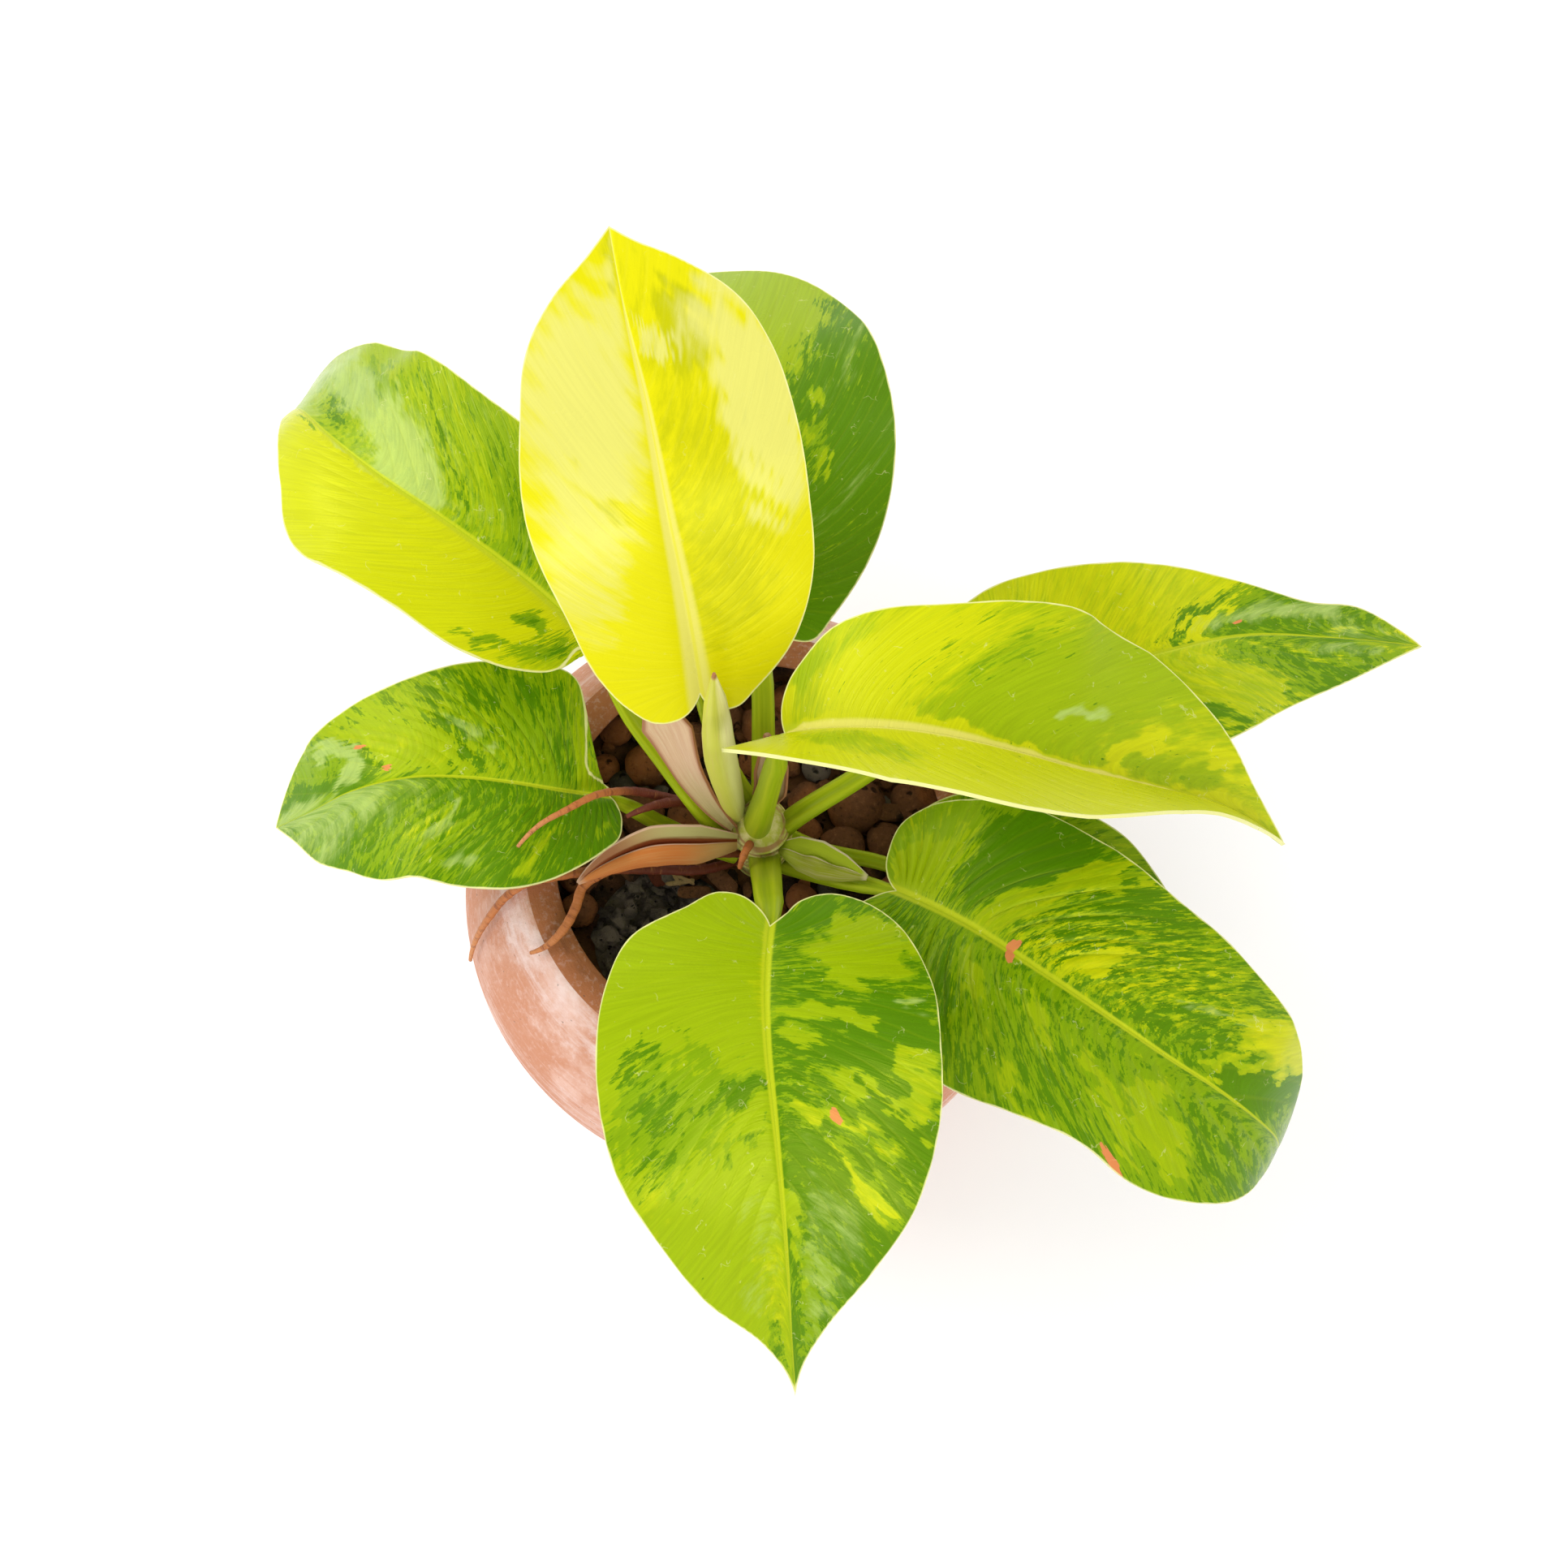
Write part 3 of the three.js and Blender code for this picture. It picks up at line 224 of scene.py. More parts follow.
# Colour patches of a blade, for each tone: the ground in the left and right half where no patch lies,
# then the patches of the left half and those of the right one. Each patch has its share of the way from
# base to tip along the margin, its share of the way out from the midrib, their two radii, its lean towards
# the tip at the midrib, and its strength. A tone is absent at 0 and full at 1, and its border is ragged
# where the strength is near 0.5. Light patches take away both greens. The grey-green film tone is a
# painted sheen: pale reflection laid into the colour.
LEFT = 0
RIGHT = 1
PATTERNS = {
    "leaf_newest": {
        "painted_sheen": ((0, 0.05), [
            (0.79, 0.62, 0.2, 0.55, 0.12, 0.85), (0.69, 0.5, 0.02, 0.22, 0.15, -0.35),
            (0.46, 0.75, 0.16, 0.4, 0.25, 0.6)], [
            (0.66, 0.84, 0.21, 0.26, 0.15, 1), (0.9, 0.42, 0.012, 0.3, 0.1, 0.8),
            (0.93, 0.4, 0.008, 0.25, 0.1, 0.6)]),
        "yellow": ((0.05, 0.25), [
            (0.69, 0.5, 0.02, 0.2, 0.15, 0.45), (0.98, 0.6, 0.02, 0.5, 0, 0.5)], [
            (0.6, 0.35, 0.36, 0.35, 0, 0.35), (0.87, 0.72, 0.05, 0.16, 0, 0.8)]),
    },
    "leaf_right": {
        "yellow": ((0.5, 0.85), [
            (0.38, 0.45, 0.14, 0.6, 0.15, 0.3), (0.05, 0.5, 0.05, 0.6, 0, 0.4),
            (0.14, 0.7, 0.05, 0.3, 0, -0.3), (0.25, 0.8, 0.05, 0.2, 0, -0.2),
            (0.7, 0.5, 0.125, 0.9, 0.08, -0.36), (0.845, 0.4, 0.016, 0.35, 0.06, 0.8),
            (0.87, 0.9, 0.04, 0.07, 0, 0.6), (0.89, 0.5, 0.03, 0.4, 0, -0.3),
            (0.95, 0.4, 0.02, 0.4, 0, 0.5), (0.5, 0.02, 0.6, 0.07, 0, 1.1)], [
            (0.4, 0.35, 0.15, 0.3, 0, -0.5), (0.5, 0.02, 0.6, 0.1, 0, 1.1)]),
        "middle": ((0.08, 0), [
            (0.72, 0.5, 0.12, 0.9, 0.08, 0.08), (0.9, 0.5, 0.03, 0.4, 0, 0.25),
            (0.57, 0.62, 0.045, 0.28, 0.1, 0.36), (0.47, 0.5, 0.03, 0.25, 0.1, 0.3),
            (0.42, 0.85, 0.03, 0.1, 0, 0.3), (0.33, 0.25, 0.04, 0.15, 0, 0.25)], []),
        "painted_sheen": ((0, 0), [
            (0.755, 0.58, 0.016, 0.1, 0, 0.8)], []),
    },
    "leaf_back": {
        "middle": ((1.1, 1.1), [], []),
        "dark": ((0.9, 0.98), [], [
            (0.63, 0.4, 0.08, 0.15, 0, -0.5), (0.33, 0.55, 0.05, 0.5, 0, -0.22),
            (0.64, 0.8, 0.06, 0.15, 0, -0.3), (0.2, 0.5, 0.02, 0.5, 0, -0.2)]),
        "light": ((0, 0), [
            (1, 0.5, 0.222, 1.5, 0.1, 1.6)], [
            (1, 0.5, 0.222, 1.5, 0.1, 1.6), (0.565, 0.48, 0.03, 0.05, 0.3, 1.2),
            (0.68, 0.42, 0.03, 0.06, 0.2, 1.2)]),
        "painted_sheen": ((0.1, 0.12), [], [
            (0.66, 0.75, 0.03, 0.3, 0, 0.25), (0.43, 0.5, 0.02, 0.4, 0, 0.25),
            (1, 0.5, 0.2, 1.5, 0.1, -0.2)]),
    },
    "leaf_front": {
        "middle": ((1.02, 0.04), [
            (0.01, 0.5, 0.05, 0.9, 0, -0.9), (0.33, 0.3, 0.1, 0.3, 0, -0.35),
            (0.34, 0.85, 0.04, 0.2, 0, -0.3), (0.65, 0.2, 0.06, 0.2, 0, -0.3)], [
            (0.53, 0.66, 0.09, 0.28, 0.2, 0.75), (0.65, 0.27, 0.03, 0.3, 0.15, 0.8),
            (0.56, 0.72, 0.1, 0.35, 0.15, 0.4), (0.735, 0.28, 0.014, 0.25, 0.12, 0.8),
            (0.6, 0.5, 0.12, 0.4, 0.1, 0.32), (0.92, 0.88, 0.03, 0.14, 0, 0.7),
            (0.985, 0.45, 0.03, 0.4, 0, 0.8)]),
        "dark": ((0.62, -0.1), [
            (0.115, 0.55, 0.05, 0.45, 0, 0.4), (0.43, 0.7, 0.035, 0.3, 0.05, 0.5),
            (0.53, 0.5, 0.04, 0.45, 0.12, 0.4), (0.59, 0.8, 0.035, 0.3, 0, 0.4),
            (0.3, 0.3, 0.12, 0.25, 0, -0.1), (0.78, 0.5, 0.06, 0.6, 0.05, 0.2),
            (0.88, 0.7, 0.06, 0.35, 0, -0.35), (0.97, 0.5, 0.04, 0.7, 0, 0.3)], [
            (0.44, 0.72, 0.025, 0.2, 0.1, 0.62), (0.545, 0.62, 0.06, 0.16, 0.35, 0.5),
            (0.585, 0.8, 0.045, 0.16, 0, 0.58), (0.5, 0.82, 0.05, 0.2, 0.1, 0.4),
            (0.65, 0.27, 0.025, 0.28, 0.15, 0.95), (0.735, 0.28, 0.01, 0.22, 0.12, 0.75),
            (0.92, 0.88, 0.025, 0.12, 0, 0.6), (0.985, 0.45, 0.02, 0.3, 0, 0.5)]),
        "light": ((0, 0), [
            (0.23, 0.68, 0.075, 0.3, 0, 1.5), (0.31, 0.5, 0.05, 0.13, 0, 1.1),
            (0.46, 0.36, 0.018, 0.34, 0.13, 1.1), (0.505, 0.88, 0.05, 0.1, 0, 1.2),
            (0.575, 0.62, 0.02, 0.25, 0.2, 0.9), (0.55, 0.18, 0.03, 0.12, 0, 0.7),
            (0.575, 0.85, 0.006, 0.1, 0, 1), (0.67, 0.45, 0.016, 0.36, 0.13, 0.85),
            (0.705, 0.78, 0.014, 0.2, 0, 0.9), (0.845, 0.16, 0.02, 0.2, 0, 1.2),
            (0.88, 0.4, 0.01, 0.22, 0, 1.1)], []),
        "painted_sheen": ((0.08, 0), [
            (0.84, 0.7, 0.1, 0.35, 0, 0.35), (0.375, 0.85, 0.02, 0.1, 0, 0.6)], [
            (0.85, 0.5, 0.07, 0.4, 0, 0.3)]),
        "yellow": ((0.15, 0.12), [
            (0.51, 0.88, 0.06, 0.14, 0, 0.2), (0.705, 0.75, 0.02, 0.25, 0, 0.45),
            (0.67, 0.45, 0.03, 0.4, 0.13, 0.3)], [
            (0.63, 0.93, 0.05, 0.1, 0, 0.25), (0.9, 0.45, 0.06, 0.45, 0, 0.3),
            (0.1, 0.02, 0.5, 0.06, 0, 0.3)]),
        "spot": ((0, 0), [
            (0.667, 0.47, 0.013, 0.045, 0, 1), (0.706, 0.36, 0.006, 0.02, 0, 1),
            (1, 0.5, 0.008, 1, 0, 0.7)], [
            (1, 0.5, 0.008, 1, 0, 0.7)]),
    },
    "leaf_upper_left": {
        "middle": ((-0.1, 0.5), [
            (0.19, 0.4, 0.1, 0.5, 0, 0.72), (0.34, 0.28, 0.06, 0.17, 0, 1.1),
            (0.28, 0.78, 0.04, 0.14, 0, 0.7), (0.92, 0.45, 0.02, 0.2, 0, 0.8)], [
            (0.55, 0.5, 0.09, 0.6, 0.05, 0.25), (0.83, 0.72, 0.07, 0.28, 0, 0.25),
            (0.61, 0.5, 0.03, 0.5, 0.05, -0.3), (0.75, 0.95, 0.2, 0.08, 0, -0.5),
            (0.97, 0.5, 0.04, 0.8, 0, -0.4)]),
        "dark": ((-0.2, 0.14), [
            (0.13, 0.35, 0.05, 0.35, 0, 0.65), (0.34, 0.28, 0.05, 0.15, 0.1, 0.7),
            (0.2, 0.3, 0.05, 0.25, 0, 0.55), (0.28, 0.8, 0.03, 0.1, 0, 0.5)], [
            (0.53, 0.35, 0.05, 0.45, 0, 0.3), (0.81, 0.55, 0.025, 0.25, 0, 0.35),
            (0.885, 0.45, 0.02, 0.3, 0.1, 0.4), (0.69, 0.5, 0.018, 0.4, 0.05, 0.4)]),
        "painted_sheen": ((0, 0.2), [
            (0.88, 0.15, 0.06, 0.15, 0, 0.5)], [
            (0.79, 0.3, 0.06, 0.4, 0.05, 0.8), (0.86, 0.72, 0.06, 0.3, 0, 0.6),
            (0.97, 0.5, 0.05, 0.8, 0, 0.35)]),
        "yellow": ((0.8, 0.25), [
            (0.12, 0.5, 0.1, 0.6, 0, -0.4)], []),
    },
    "leaf_far_right": {
        "middle": ((-0.1, 0.1), [
            (0.87, 0.5, 0.175, 1.1, 0.12, 1.3)], [
            (0.91, 0.5, 0.13, 1, 0.1, 1.1), (0.58, 0.75, 0.06, 0.3, 0.25, 0.9),
            (0.75, 1, 0.15, 0.1, 0, 0.8)]),
        "dark": ((-0.3, -0.1), [
            (0.87, 0.5, 0.175, 1.1, 0.12, 0.95), (0.72, 0.5, 0.03, 0.5, 0.12, 0.4)], [
            (0.57, 0.8, 0.05, 0.25, 0.25, 1), (0.64, 0.45, 0.02, 0.3, 0.25, 0.9),
            (0.9, 0.5, 0.11, 1, 0.1, 0.75), (0.75, 1, 0.12, 0.07, 0, 0.8)]),
        "light": ((0, 0), [
            (0.765, 0.42, 0.018, 0.42, 0.13, 1.3), (0.94, 0.4, 0.008, 0.4, 0, 0.9)], [
            (0.7, 0.55, 0.075, 0.38, 0.05, 1.2), (0.885, 0.5, 0.009, 0.4, 0.02, 1),
            (0.855, 0.3, 0.012, 0.12, 0, 0.8), (0.97, 0.5, 0.012, 0.4, 0, 0.7)]),
        "painted_sheen": ((0, 0), [
            (0.82, 0.7, 0.09, 0.4, 0, 0.65), (0.95, 0.5, 0.04, 0.6, 0, 0.4)], [
            (0.93, 0.6, 0.04, 0.4, 0, 0.5)]),
        "yellow": ((0.6, 0.45), [
            (0.765, 0.42, 0.02, 0.42, 0.13, 0.4)], []),
        "spot": ((0, 0), [
            (0.825, 0.4, 0.006, 0.07, 0.1, 0.95)], []),
    },
    "leaf_left": {
        "middle": ((0.95, 0.55), [
            (0.65, 0.65, 0.1, 0.35, 0.2, -0.3)], [
            (0.42, 0.4, 0.12, 0.5, 0, 0.25), (0.75, 0.5, 0.09, 0.6, 0.05, -0.5),
            (0.9, 0.5, 0.06, 0.7, 0.1, 0.4)]),
        "dark": ((0.6, 0.3), [
            (0.2, 0.5, 0.18, 0.8, 0, 0.15), (0.65, 0.7, 0.1, 0.35, 0.2, -0.25),
            (0.85, 0.5, 0.08, 0.8, 0, 0.1)], [
            (0.34, 0.7, 0.02, 0.15, 0, 0.4), (0.41, 0.75, 0.03, 0.2, 0.1, 0.4),
            (0.38, 0.3, 0.05, 0.25, 0, 0.3), (0.52, 0.75, 0.03, 0.13, 0.1, 0.4),
            (0.63, 0.65, 0.025, 0.3, 0.18, 0.45), (0.7, 0.22, 0.015, 0.12, 0.1, 0.6),
            (0.745, 0.25, 0.01, 0.12, 0.1, 0.5), (0.77, 0.55, 0.06, 0.4, 0, -0.3),
            (0.865, 0.4, 0.03, 0.4, 0.15, 0.7), (0.94, 0.6, 0.03, 0.4, 0, 0.7)]),
        "light": ((0, 0), [
            (0.345, 0.7, 0.025, 0.25, 0.1, 0.7), (0.15, 0.62, 0.03, 0.1, 0.1, 0.4)], [
            (0.28, 0.3, 0.04, 0.3, 0, 0.5)]),
        "painted_sheen": ((0.12, 0.08), [
            (0.93, 0.5, 0.14, 0.8, 0, 0.5), (0.5, 0.8, 0.03, 0.1, 0.1, 0.5),
            (0.7, 0.4, 0.02, 0.3, 0.2, 0.4)], [
            (0.845, 0.65, 0.025, 0.3, 0.15, 0.8), (0.9, 0.3, 0.02, 0.25, 0.15, 0.6),
            (0.625, 0.5, 0.03, 0.15, 0, 0.5), (0.97, 0.4, 0.03, 0.5, 0, 0.6)]),
        "yellow": ((0.15, 0.1), [
            (0.36, 0.7, 0.04, 0.3, 0.1, 0.2), (0.65, 0.7, 0.08, 0.3, 0.2, 0.3)], [
            (0.3, 0.85, 0.04, 0.2, 0, 0.2), (0.77, 0.5, 0.06, 0.5, 0, 0.25)]),
        "spot": ((0, 0), [], [
            (0.812, 0.64, 0.01, 0.035, 0.1, 1), (0.85, 0.24, 0.007, 0.06, 0.1, 0.9)]),
    },
    "leaf_lower_right": {
        "middle": ((0.62, 0.85), [
            (0.1, 0.3, 0.2, 0.4, 0.1, -0.45), (0.14, 0.8, 0.11, 0.3, 0.2, 0.1),
            (0.365, 0.6, 0.085, 0.5, 0.12, 0.8), (0.65, 0.25, 0.1, 0.25, 0, -0.15),
            (0.97, 0.5, 0.1, 1, 0, 0.5)], [
            (0.92, 0.5, 0.1, 1, 0, 0.6), (0.47, 0.6, 0.06, 0.4, 0, -0.15),
            (0.66, 0.4, 0.06, 0.35, 0, -0.2)]),
        "dark": ((0.42, 0.39), [
            (0.12, 0.5, 0.13, 0.9, 0, -0.8), (0.365, 0.6, 0.08, 0.46, 0.12, 0.9),
            (0.53, 0.85, 0.07, 0.18, 0, 0.3), (0.6, 0.6, 0.08, 0.3, 0, 0.08),
            (0.84, 0.3, 0.05, 0.3, 0, 0.15), (0.915, 0.55, 0.03, 0.6, 0.02, 0.6)], [
            (0.2, 0.25, 0.1, 0.25, 0, 0.2), (0.43, 0.6, 0.03, 0.5, 0, 0.3), (0.6, 0.8, 0.06, 0.25, 0, 0.15),
            (0.86, 0.8, 0.06, 0.3, 0, 0.2)]),
        "light": ((0, 0), [
            (0.47, 0.75, 0.04, 0.13, 0, 1.4), (0.49, 0.25, 0.06, 0.26, 0, 0.9),
            (0.84, 0.88, 0.045, 0.2, 0, 1.6), (0.89, 0.42, 0.007, 0.45, 0.05, 1.1),
            (0.7, 0.3, 0.02, 0.25, 0.1, 0.5)], [
            (0.5, 0.28, 0.03, 0.14, 0, 0.8), (0.52, 0.88, 0.02, 0.08, 0, 0.7),
            (0.735, 0.66, 0.018, 0.2, 0.14, 1.3), (0.79, 0.66, 0.022, 0.24, 0.14, 1.4),
            (0.84, 0.35, 0.008, 0.2, 0.08, 0.8), (0.67, 0.3, 0.02, 0.15, 0.1, 0.6)]),
        "painted_sheen": ((0.05, 0.12), [
            (0.8, 0.6, 0.01, 0.25, 0, 0.4)], [
            (0.45, 0.4, 0.1, 0.3, 0, 0.12)]),
        "yellow": ((0.35, 0.25), [
            (0.84, 0.88, 0.05, 0.2, 0, 0.4), (0.7, 0.45, 0.12, 0.5, 0, 0.25),
            (0.15, 0.2, 0.2, 0.3, 0, -0.2)], []),
        "spot": ((0, 0), [
            (0.605, 0.04, 0.014, 0.07, 0, 1)], [
            (0.612, 0.04, 0.014, 0.07, 0, 0.9), (0.655, 0.94, 0.012, 0.08, 0.1, 1),
            (0.64, 0.98, 0.008, 0.03, 0, 0.9)]),
    },
    "leaf_low_right": {
        "middle": ((0.6, 0.5), [], []),
        "dark": ((0.3, 0.3), [], []),
        "yellow": ((0.2, 0.2), [], []),
    },
}
NO_PATCHES = ((0, 0), [], [])
# How far the border of a patch wanders, as shares of the way along and out, and over which lengths
PATCH_SHIFT = (0.022, 0.14)
SHARE_RIPPLES = (5, 2.2)
OUT_RIPPLES = (4, 2)
FINE_RIPPLE = 0.6
# Share of the way out up to which it wanders less
SHIFT_START = 0.3
BLADE_SLOTS = {"leaf_newest": "new_blade", "leaf_back": "dark_blade"}

SPIKE = {
    "path": [(-3.4, 6, 9), (-4.6, 6.3, 28), (-6.4, 7, 60), (-6.6, 8, 85), (-6.4, 9.4, 105)],
    "width": [2.8, 4, 4.9, 5.4, 5.2, 3.6, 0.4],
    "depth": [2.5, 3.1, 3.5, 3.7, 3.4, 2.5, 0.4],
}

# Which half of a sheath is rolled down at the front
LEFT_SIDE = -1
RIGHT_SIDE = 1
SHEATHS = [
    {
        "name": "sheath_pink_left",
        "slot": "pink_sheath",
        "line": [(-4.3, 2.2, 10), (-8.4, 4, 20), (-13, 7.6, 33), (-18.4, 14, 55), (-23, 18.5, 72)],
        "width": [1.4, 3, 4.6, 6.4, 0.6], "fold": [20, 14, 8, 4], "curl": [40, 30, 20, 10],
        "turn": [45, 45],
    },
    {
        "name": "sheath_pink_right",
        "slot": "pink_sheath",
        "line": [(5, 10.3, 6), (5.2, 11.2, 28), (4.6, 13.8, 50)],
        "width": [2.2, 5.5, 5, 0.6], "fold": [20, 20, 12], "curl": [50, 40, 20], "turn": [0, 0],
    },
    {
        "name": "sheath_dried",
        "slot": "dried_sheath",
        "line": [(-3.4, -1.4, 8.5), (-11, -3.4, 13.5), (-25, -5.2, 17), (-36, -8.8, 14), (-43, -12.2, 9)],
        "width": [2.2, 5.4, 5.6, 3.6, 0.6], "fold": [42, 42, 42, 40], "curl": [0, 0], "turn": [0, 0],
        "front": LEFT_SIDE,
    },
    {
        "name": "sheath_green",
        "slot": "green_sheath",
        "line": [(8, -1.8, 4), (14.5, -5.4, 9.5), (22, -9, 13), (29.5, -12.5, 15.5)],
        "width": [1.6, 4.6, 5.2, 3.6, 0.6], "fold": [40, 36, 32, 20], "curl": [0, 0], "turn": [0, 0],
        "front": RIGHT_SIDE, "wave": 0.9,
    },
]
SHEATH_THICKNESS = 0.7
FLANK_ROLL = -75
CHANNEL_DEPTH = 1.6
# Place and half width of the channel, and the reach of the waves, as shares of a sheath's half width
CHANNEL_PLACE = -0.2
CHANNEL_HALF_WIDTH = 0.14
WAVE_REACH = 0.3
WAVE_TURNS = 5.5

ROOTS = [
    {
        "name": "root_over_leaf",
        "line": [(-4.2, 6.2, 1.5), (-12, 8, 6.5), (-17.3, 8.8, 10), (-22, 9.2, 13), (-27.5, 9, 18),
                 (-32, 7.5, 23.5), (-37, 5.2, 28.5), (-44.2, 0.3, 32), (-51.2, -4.3, 33),
                 (-56, -9.4, 32.5)],
        "radius": [1.5, 1.35, 1.05, 0.85, 0.45], "age": (-0.2, 1),
        "branch": [(-16, 8.6, 9.5), (-21, 7, 15), (-26, 4.2, 19.5), (-30.5, 1.8, 20.5)],
    },
    {
        "name": "root_orange",
        "line": [(-2.6, -2.4, 1), (-9, -4.2, 7), (-25, -5.8, 12), (-36, -9.6, 10), (-42, -13, 8),
                 (-43.8, -18, 6.5), (-47.4, -24, 4.8), (-51, -27, 3.2), (-55.4, -28.4, 0.8)],
        "radius": [1, 0.9, 0.9, 1.1, 1.3, 1.2, 0.5], "age": (0.35, 0.85),
    },
    {
        "name": "root_outside",
        "line": [(-3.4, -0.8, -10.5), (-13, -5, -5.5), (-24, -5.5, -3.2), (-38, -6.5, 0), (-50, -9, 2.6),
                 (-57, -10.6, 2.2), (-62, -12.6, -2), (-67.6, -16.5, -10), (-72.7, -20.5, -22),
                 (-74.8, -23, -31)],
        "radius": [1.3, 1.3, 1.2, 1, 0.5], "age": (0.1, 1),
    },
    {
        "name": "root_nub",
        "line": [(0.2, -2.4, 10.4), (-1.2, -5.4, 11.6), (-2.4, -8, 8.2)],
        "radius": [1.1, 1, 0.6], "age": (0.42, 0.7),
    },
]
ROOT_BRANCH_RADIUS = [1.2, 1.3, 1, 0.6]
ROOT_BRANCH_AGE = (0, 0.35)
# Swellings of a root: share of its radius, radians to a millimetre, and where the smooth tip starts
ROOT_SWELL = 0.05
ROOT_SWELL_TURNS = 1.9
ROOT_TIP_START = 0.95

# Pebbles whose place and radius can be read off the plant's front view: x, y, radius
SEEN_PEBBLES = [
    (27.5, 14.5, 7.6), (24, 3, 6.2), (36, 4.8, 5.3), (43.5, 16.5, 6.3), (-39, 25.5, 3.9),
    (-27.5, 26, 5.9), (-36, 36, 4.4), (-44.8, -13.2, 4.6), (-15.4, -1.4, 3.9), (15.5, 8, 3.6),
    (13.5, -10.5, 4.2),
]
SEEN_GREY = [(-34.3, 20.7, 3.9), (17.6, 25.6, 4)]
# Flakes: x, y, length, width, turn in degrees and kind
SEEN_CHIPS = [
    (-18.4, -6.9, 7.5, 1.3, 8, "straw"), (-19.6, -5.4, 5.5, 1.1, -55, "straw"),
    (-17.2, -6, 6, 1, -25, "straw"), (-14.7, -9.2, 8.5, 3.4, 4, "bark"), (-7.4, -6, 10, 4.6, -48, "bark"),
    (-24.3, -2.6, 10, 6, -62, "red"), (-31.5, -3.6, 6, 4.2, -40, "bark"), (36.9, 12.4, 7, 5, 5, "bark"),
    (-27, -24, 6, 3, 20, "bark"), (-9, -22, 7, 3.5, -30, "bark"),
]
STEM_CENTRE = (2.8, 3.4)
STEM_RADIUS = 7.7
# Share of the stem's radius at each level
STEM_PROFILE = [
    (0.9, -48), (0.95, -22), (0.95, -3), (0.93, 3), (0.9, 7), (0.82, 9), (0.62, 11.5), (0.3, 13),
]
# Overlapping sheath bases: level of the upper edge, its tilt and the direction in which it is highest
STEM_COLLARS = [
    (-38, 1, 0.4), (-30, 1, 2.6), (-22, 1, -1.2), (-15, 1.2, 1.9), (-9, 1.2, -0.6), (-4, 1.4, 2.7),
    (0.2, 1.6, 0.8), (3.6, 1.5, -2.4), (6.8, 1.3, -0.9), (9.4, 1.1, 1.5),
]
COLLAR_STEP = 0.7
COLLAR_FADE = 1.8
# Brown line over the edge of a collar
LINE_OVER_COLLAR = 0.3
LINE_HALF_WIDTH = 0.45

# Loose stones: smallest and largest radius, level of their middles, and form as shares of the radius
PEBBLE_SIZES = (4.6, 6.4)
PEBBLE_LEVEL = -14
PEBBLE_FORM = (1.02, 0.9894, 0.918)
CRUMB_SIZES = (1.6, 3.2)
CRUMB_LEVEL = -14.5
CRUMB_FORM = (1, 0.9, 0.8)
CHIP_FORM = (1.5, 0.8, 0.5)
GRIT_SIZES = (2.2, 3.6)
FINE_GRIT_SIZES = (1, 2)
GRIT_LEVEL = -14.2
GRIT_FORM = (1, 0.85, 0.8)
# How much deeper a smaller stone lies, and the unevenness of the grit's level
PEBBLE_SINK = 0.4
CRUMB_SINK = 0.3
GRIT_SINK = 0.2
GRIT_HEAP = 0.7
# Half thickness and level of the listed chips
STRAW_PLACE = (0.5, -11)
CHIP_PLACE = (0.9, -12)
# Unevenness of a stone: lengths of its lumps as shares of the radius, weight of the fine ones, and its tilt
LUMP_LENGTH = 0.9
FINE_LUMP_LENGTH = 0.3
FINE_LUMP = 0.45
STONE_TILT = 0.25
# Turn of a stone and step of its tilt for each unit of its seed, in radians
SEED_TURN = 2.4
SEED_TILT = 5.1
# Slabs under the stones, and the room that the pebbles leave round the stem and the grit
BED_LEVEL = -19.7
CRUMB_BED_RADIUS = 58.5
CRUMB_BED_THICKNESS = 3
GRIT_BED_THICKNESS = 3.2
STEM_ROOM = 13
GRIT_PLACE = (-22, -21)
GRIT_REACH = 19
CLEARANCE = 0.3

POT_SIDES = 144
DRAIN_HOLES = 3
DRAIN_SIDES = 32
# Radius of the lip and its drop below the rim, and the drop at which the inner wall starts
LIP = [(58.1, 0.3), (56.7, 0), (52, 0.7), (50.3, 1.7)]
LIP_DEPTH = 4
OUTER_POINTS = 40
LIP_POINTS = 16
INNER_POINTS = 30
# Outward share of a face's direction below which it belongs to the lip's top or the inside
LIP_TURN = 0.35

# Steps of the repeating draws that place the stones
DRAW_FACTOR = 1664525
DRAW_ADDEND = 1013904223
DRAW_RANGE = 2 ** 32

# Floor, lamps and camera, in metres and degrees
FLOOR_SIZE = 8
KEY_LAMP_PLACE = (-0.75, 0.35, 0.95)
KEY_LAMP_SIZE = (0.9, 0.6)
FRONT_LAMP_PLACE = (0.12, -0.8, 0.95)
FRONT_LAMP_SIZE = (0.5, 0.35)
LAMP_AIM = (0, 0, 0.15)
CAMERA_PLACE = (0.00876, -0.1661, 0.7195)
CAMERA_TILT = 17
CAMERA_LENS = 55.397
CAMERA_SENSOR = 36


def colour_property(name, description, default):
    return FloatVectorProperty(
        name=name, description=description, default=default, subtype="COLOR", size=3, min=0, max=1)


def amount_property(name, description, default, subtype="NONE"):
    return FloatProperty(name=name, description=description, default=default, subtype=subtype, min=0)


def size_property(name, description, default):
    return amount_property(name, description, default, "DISTANCE")


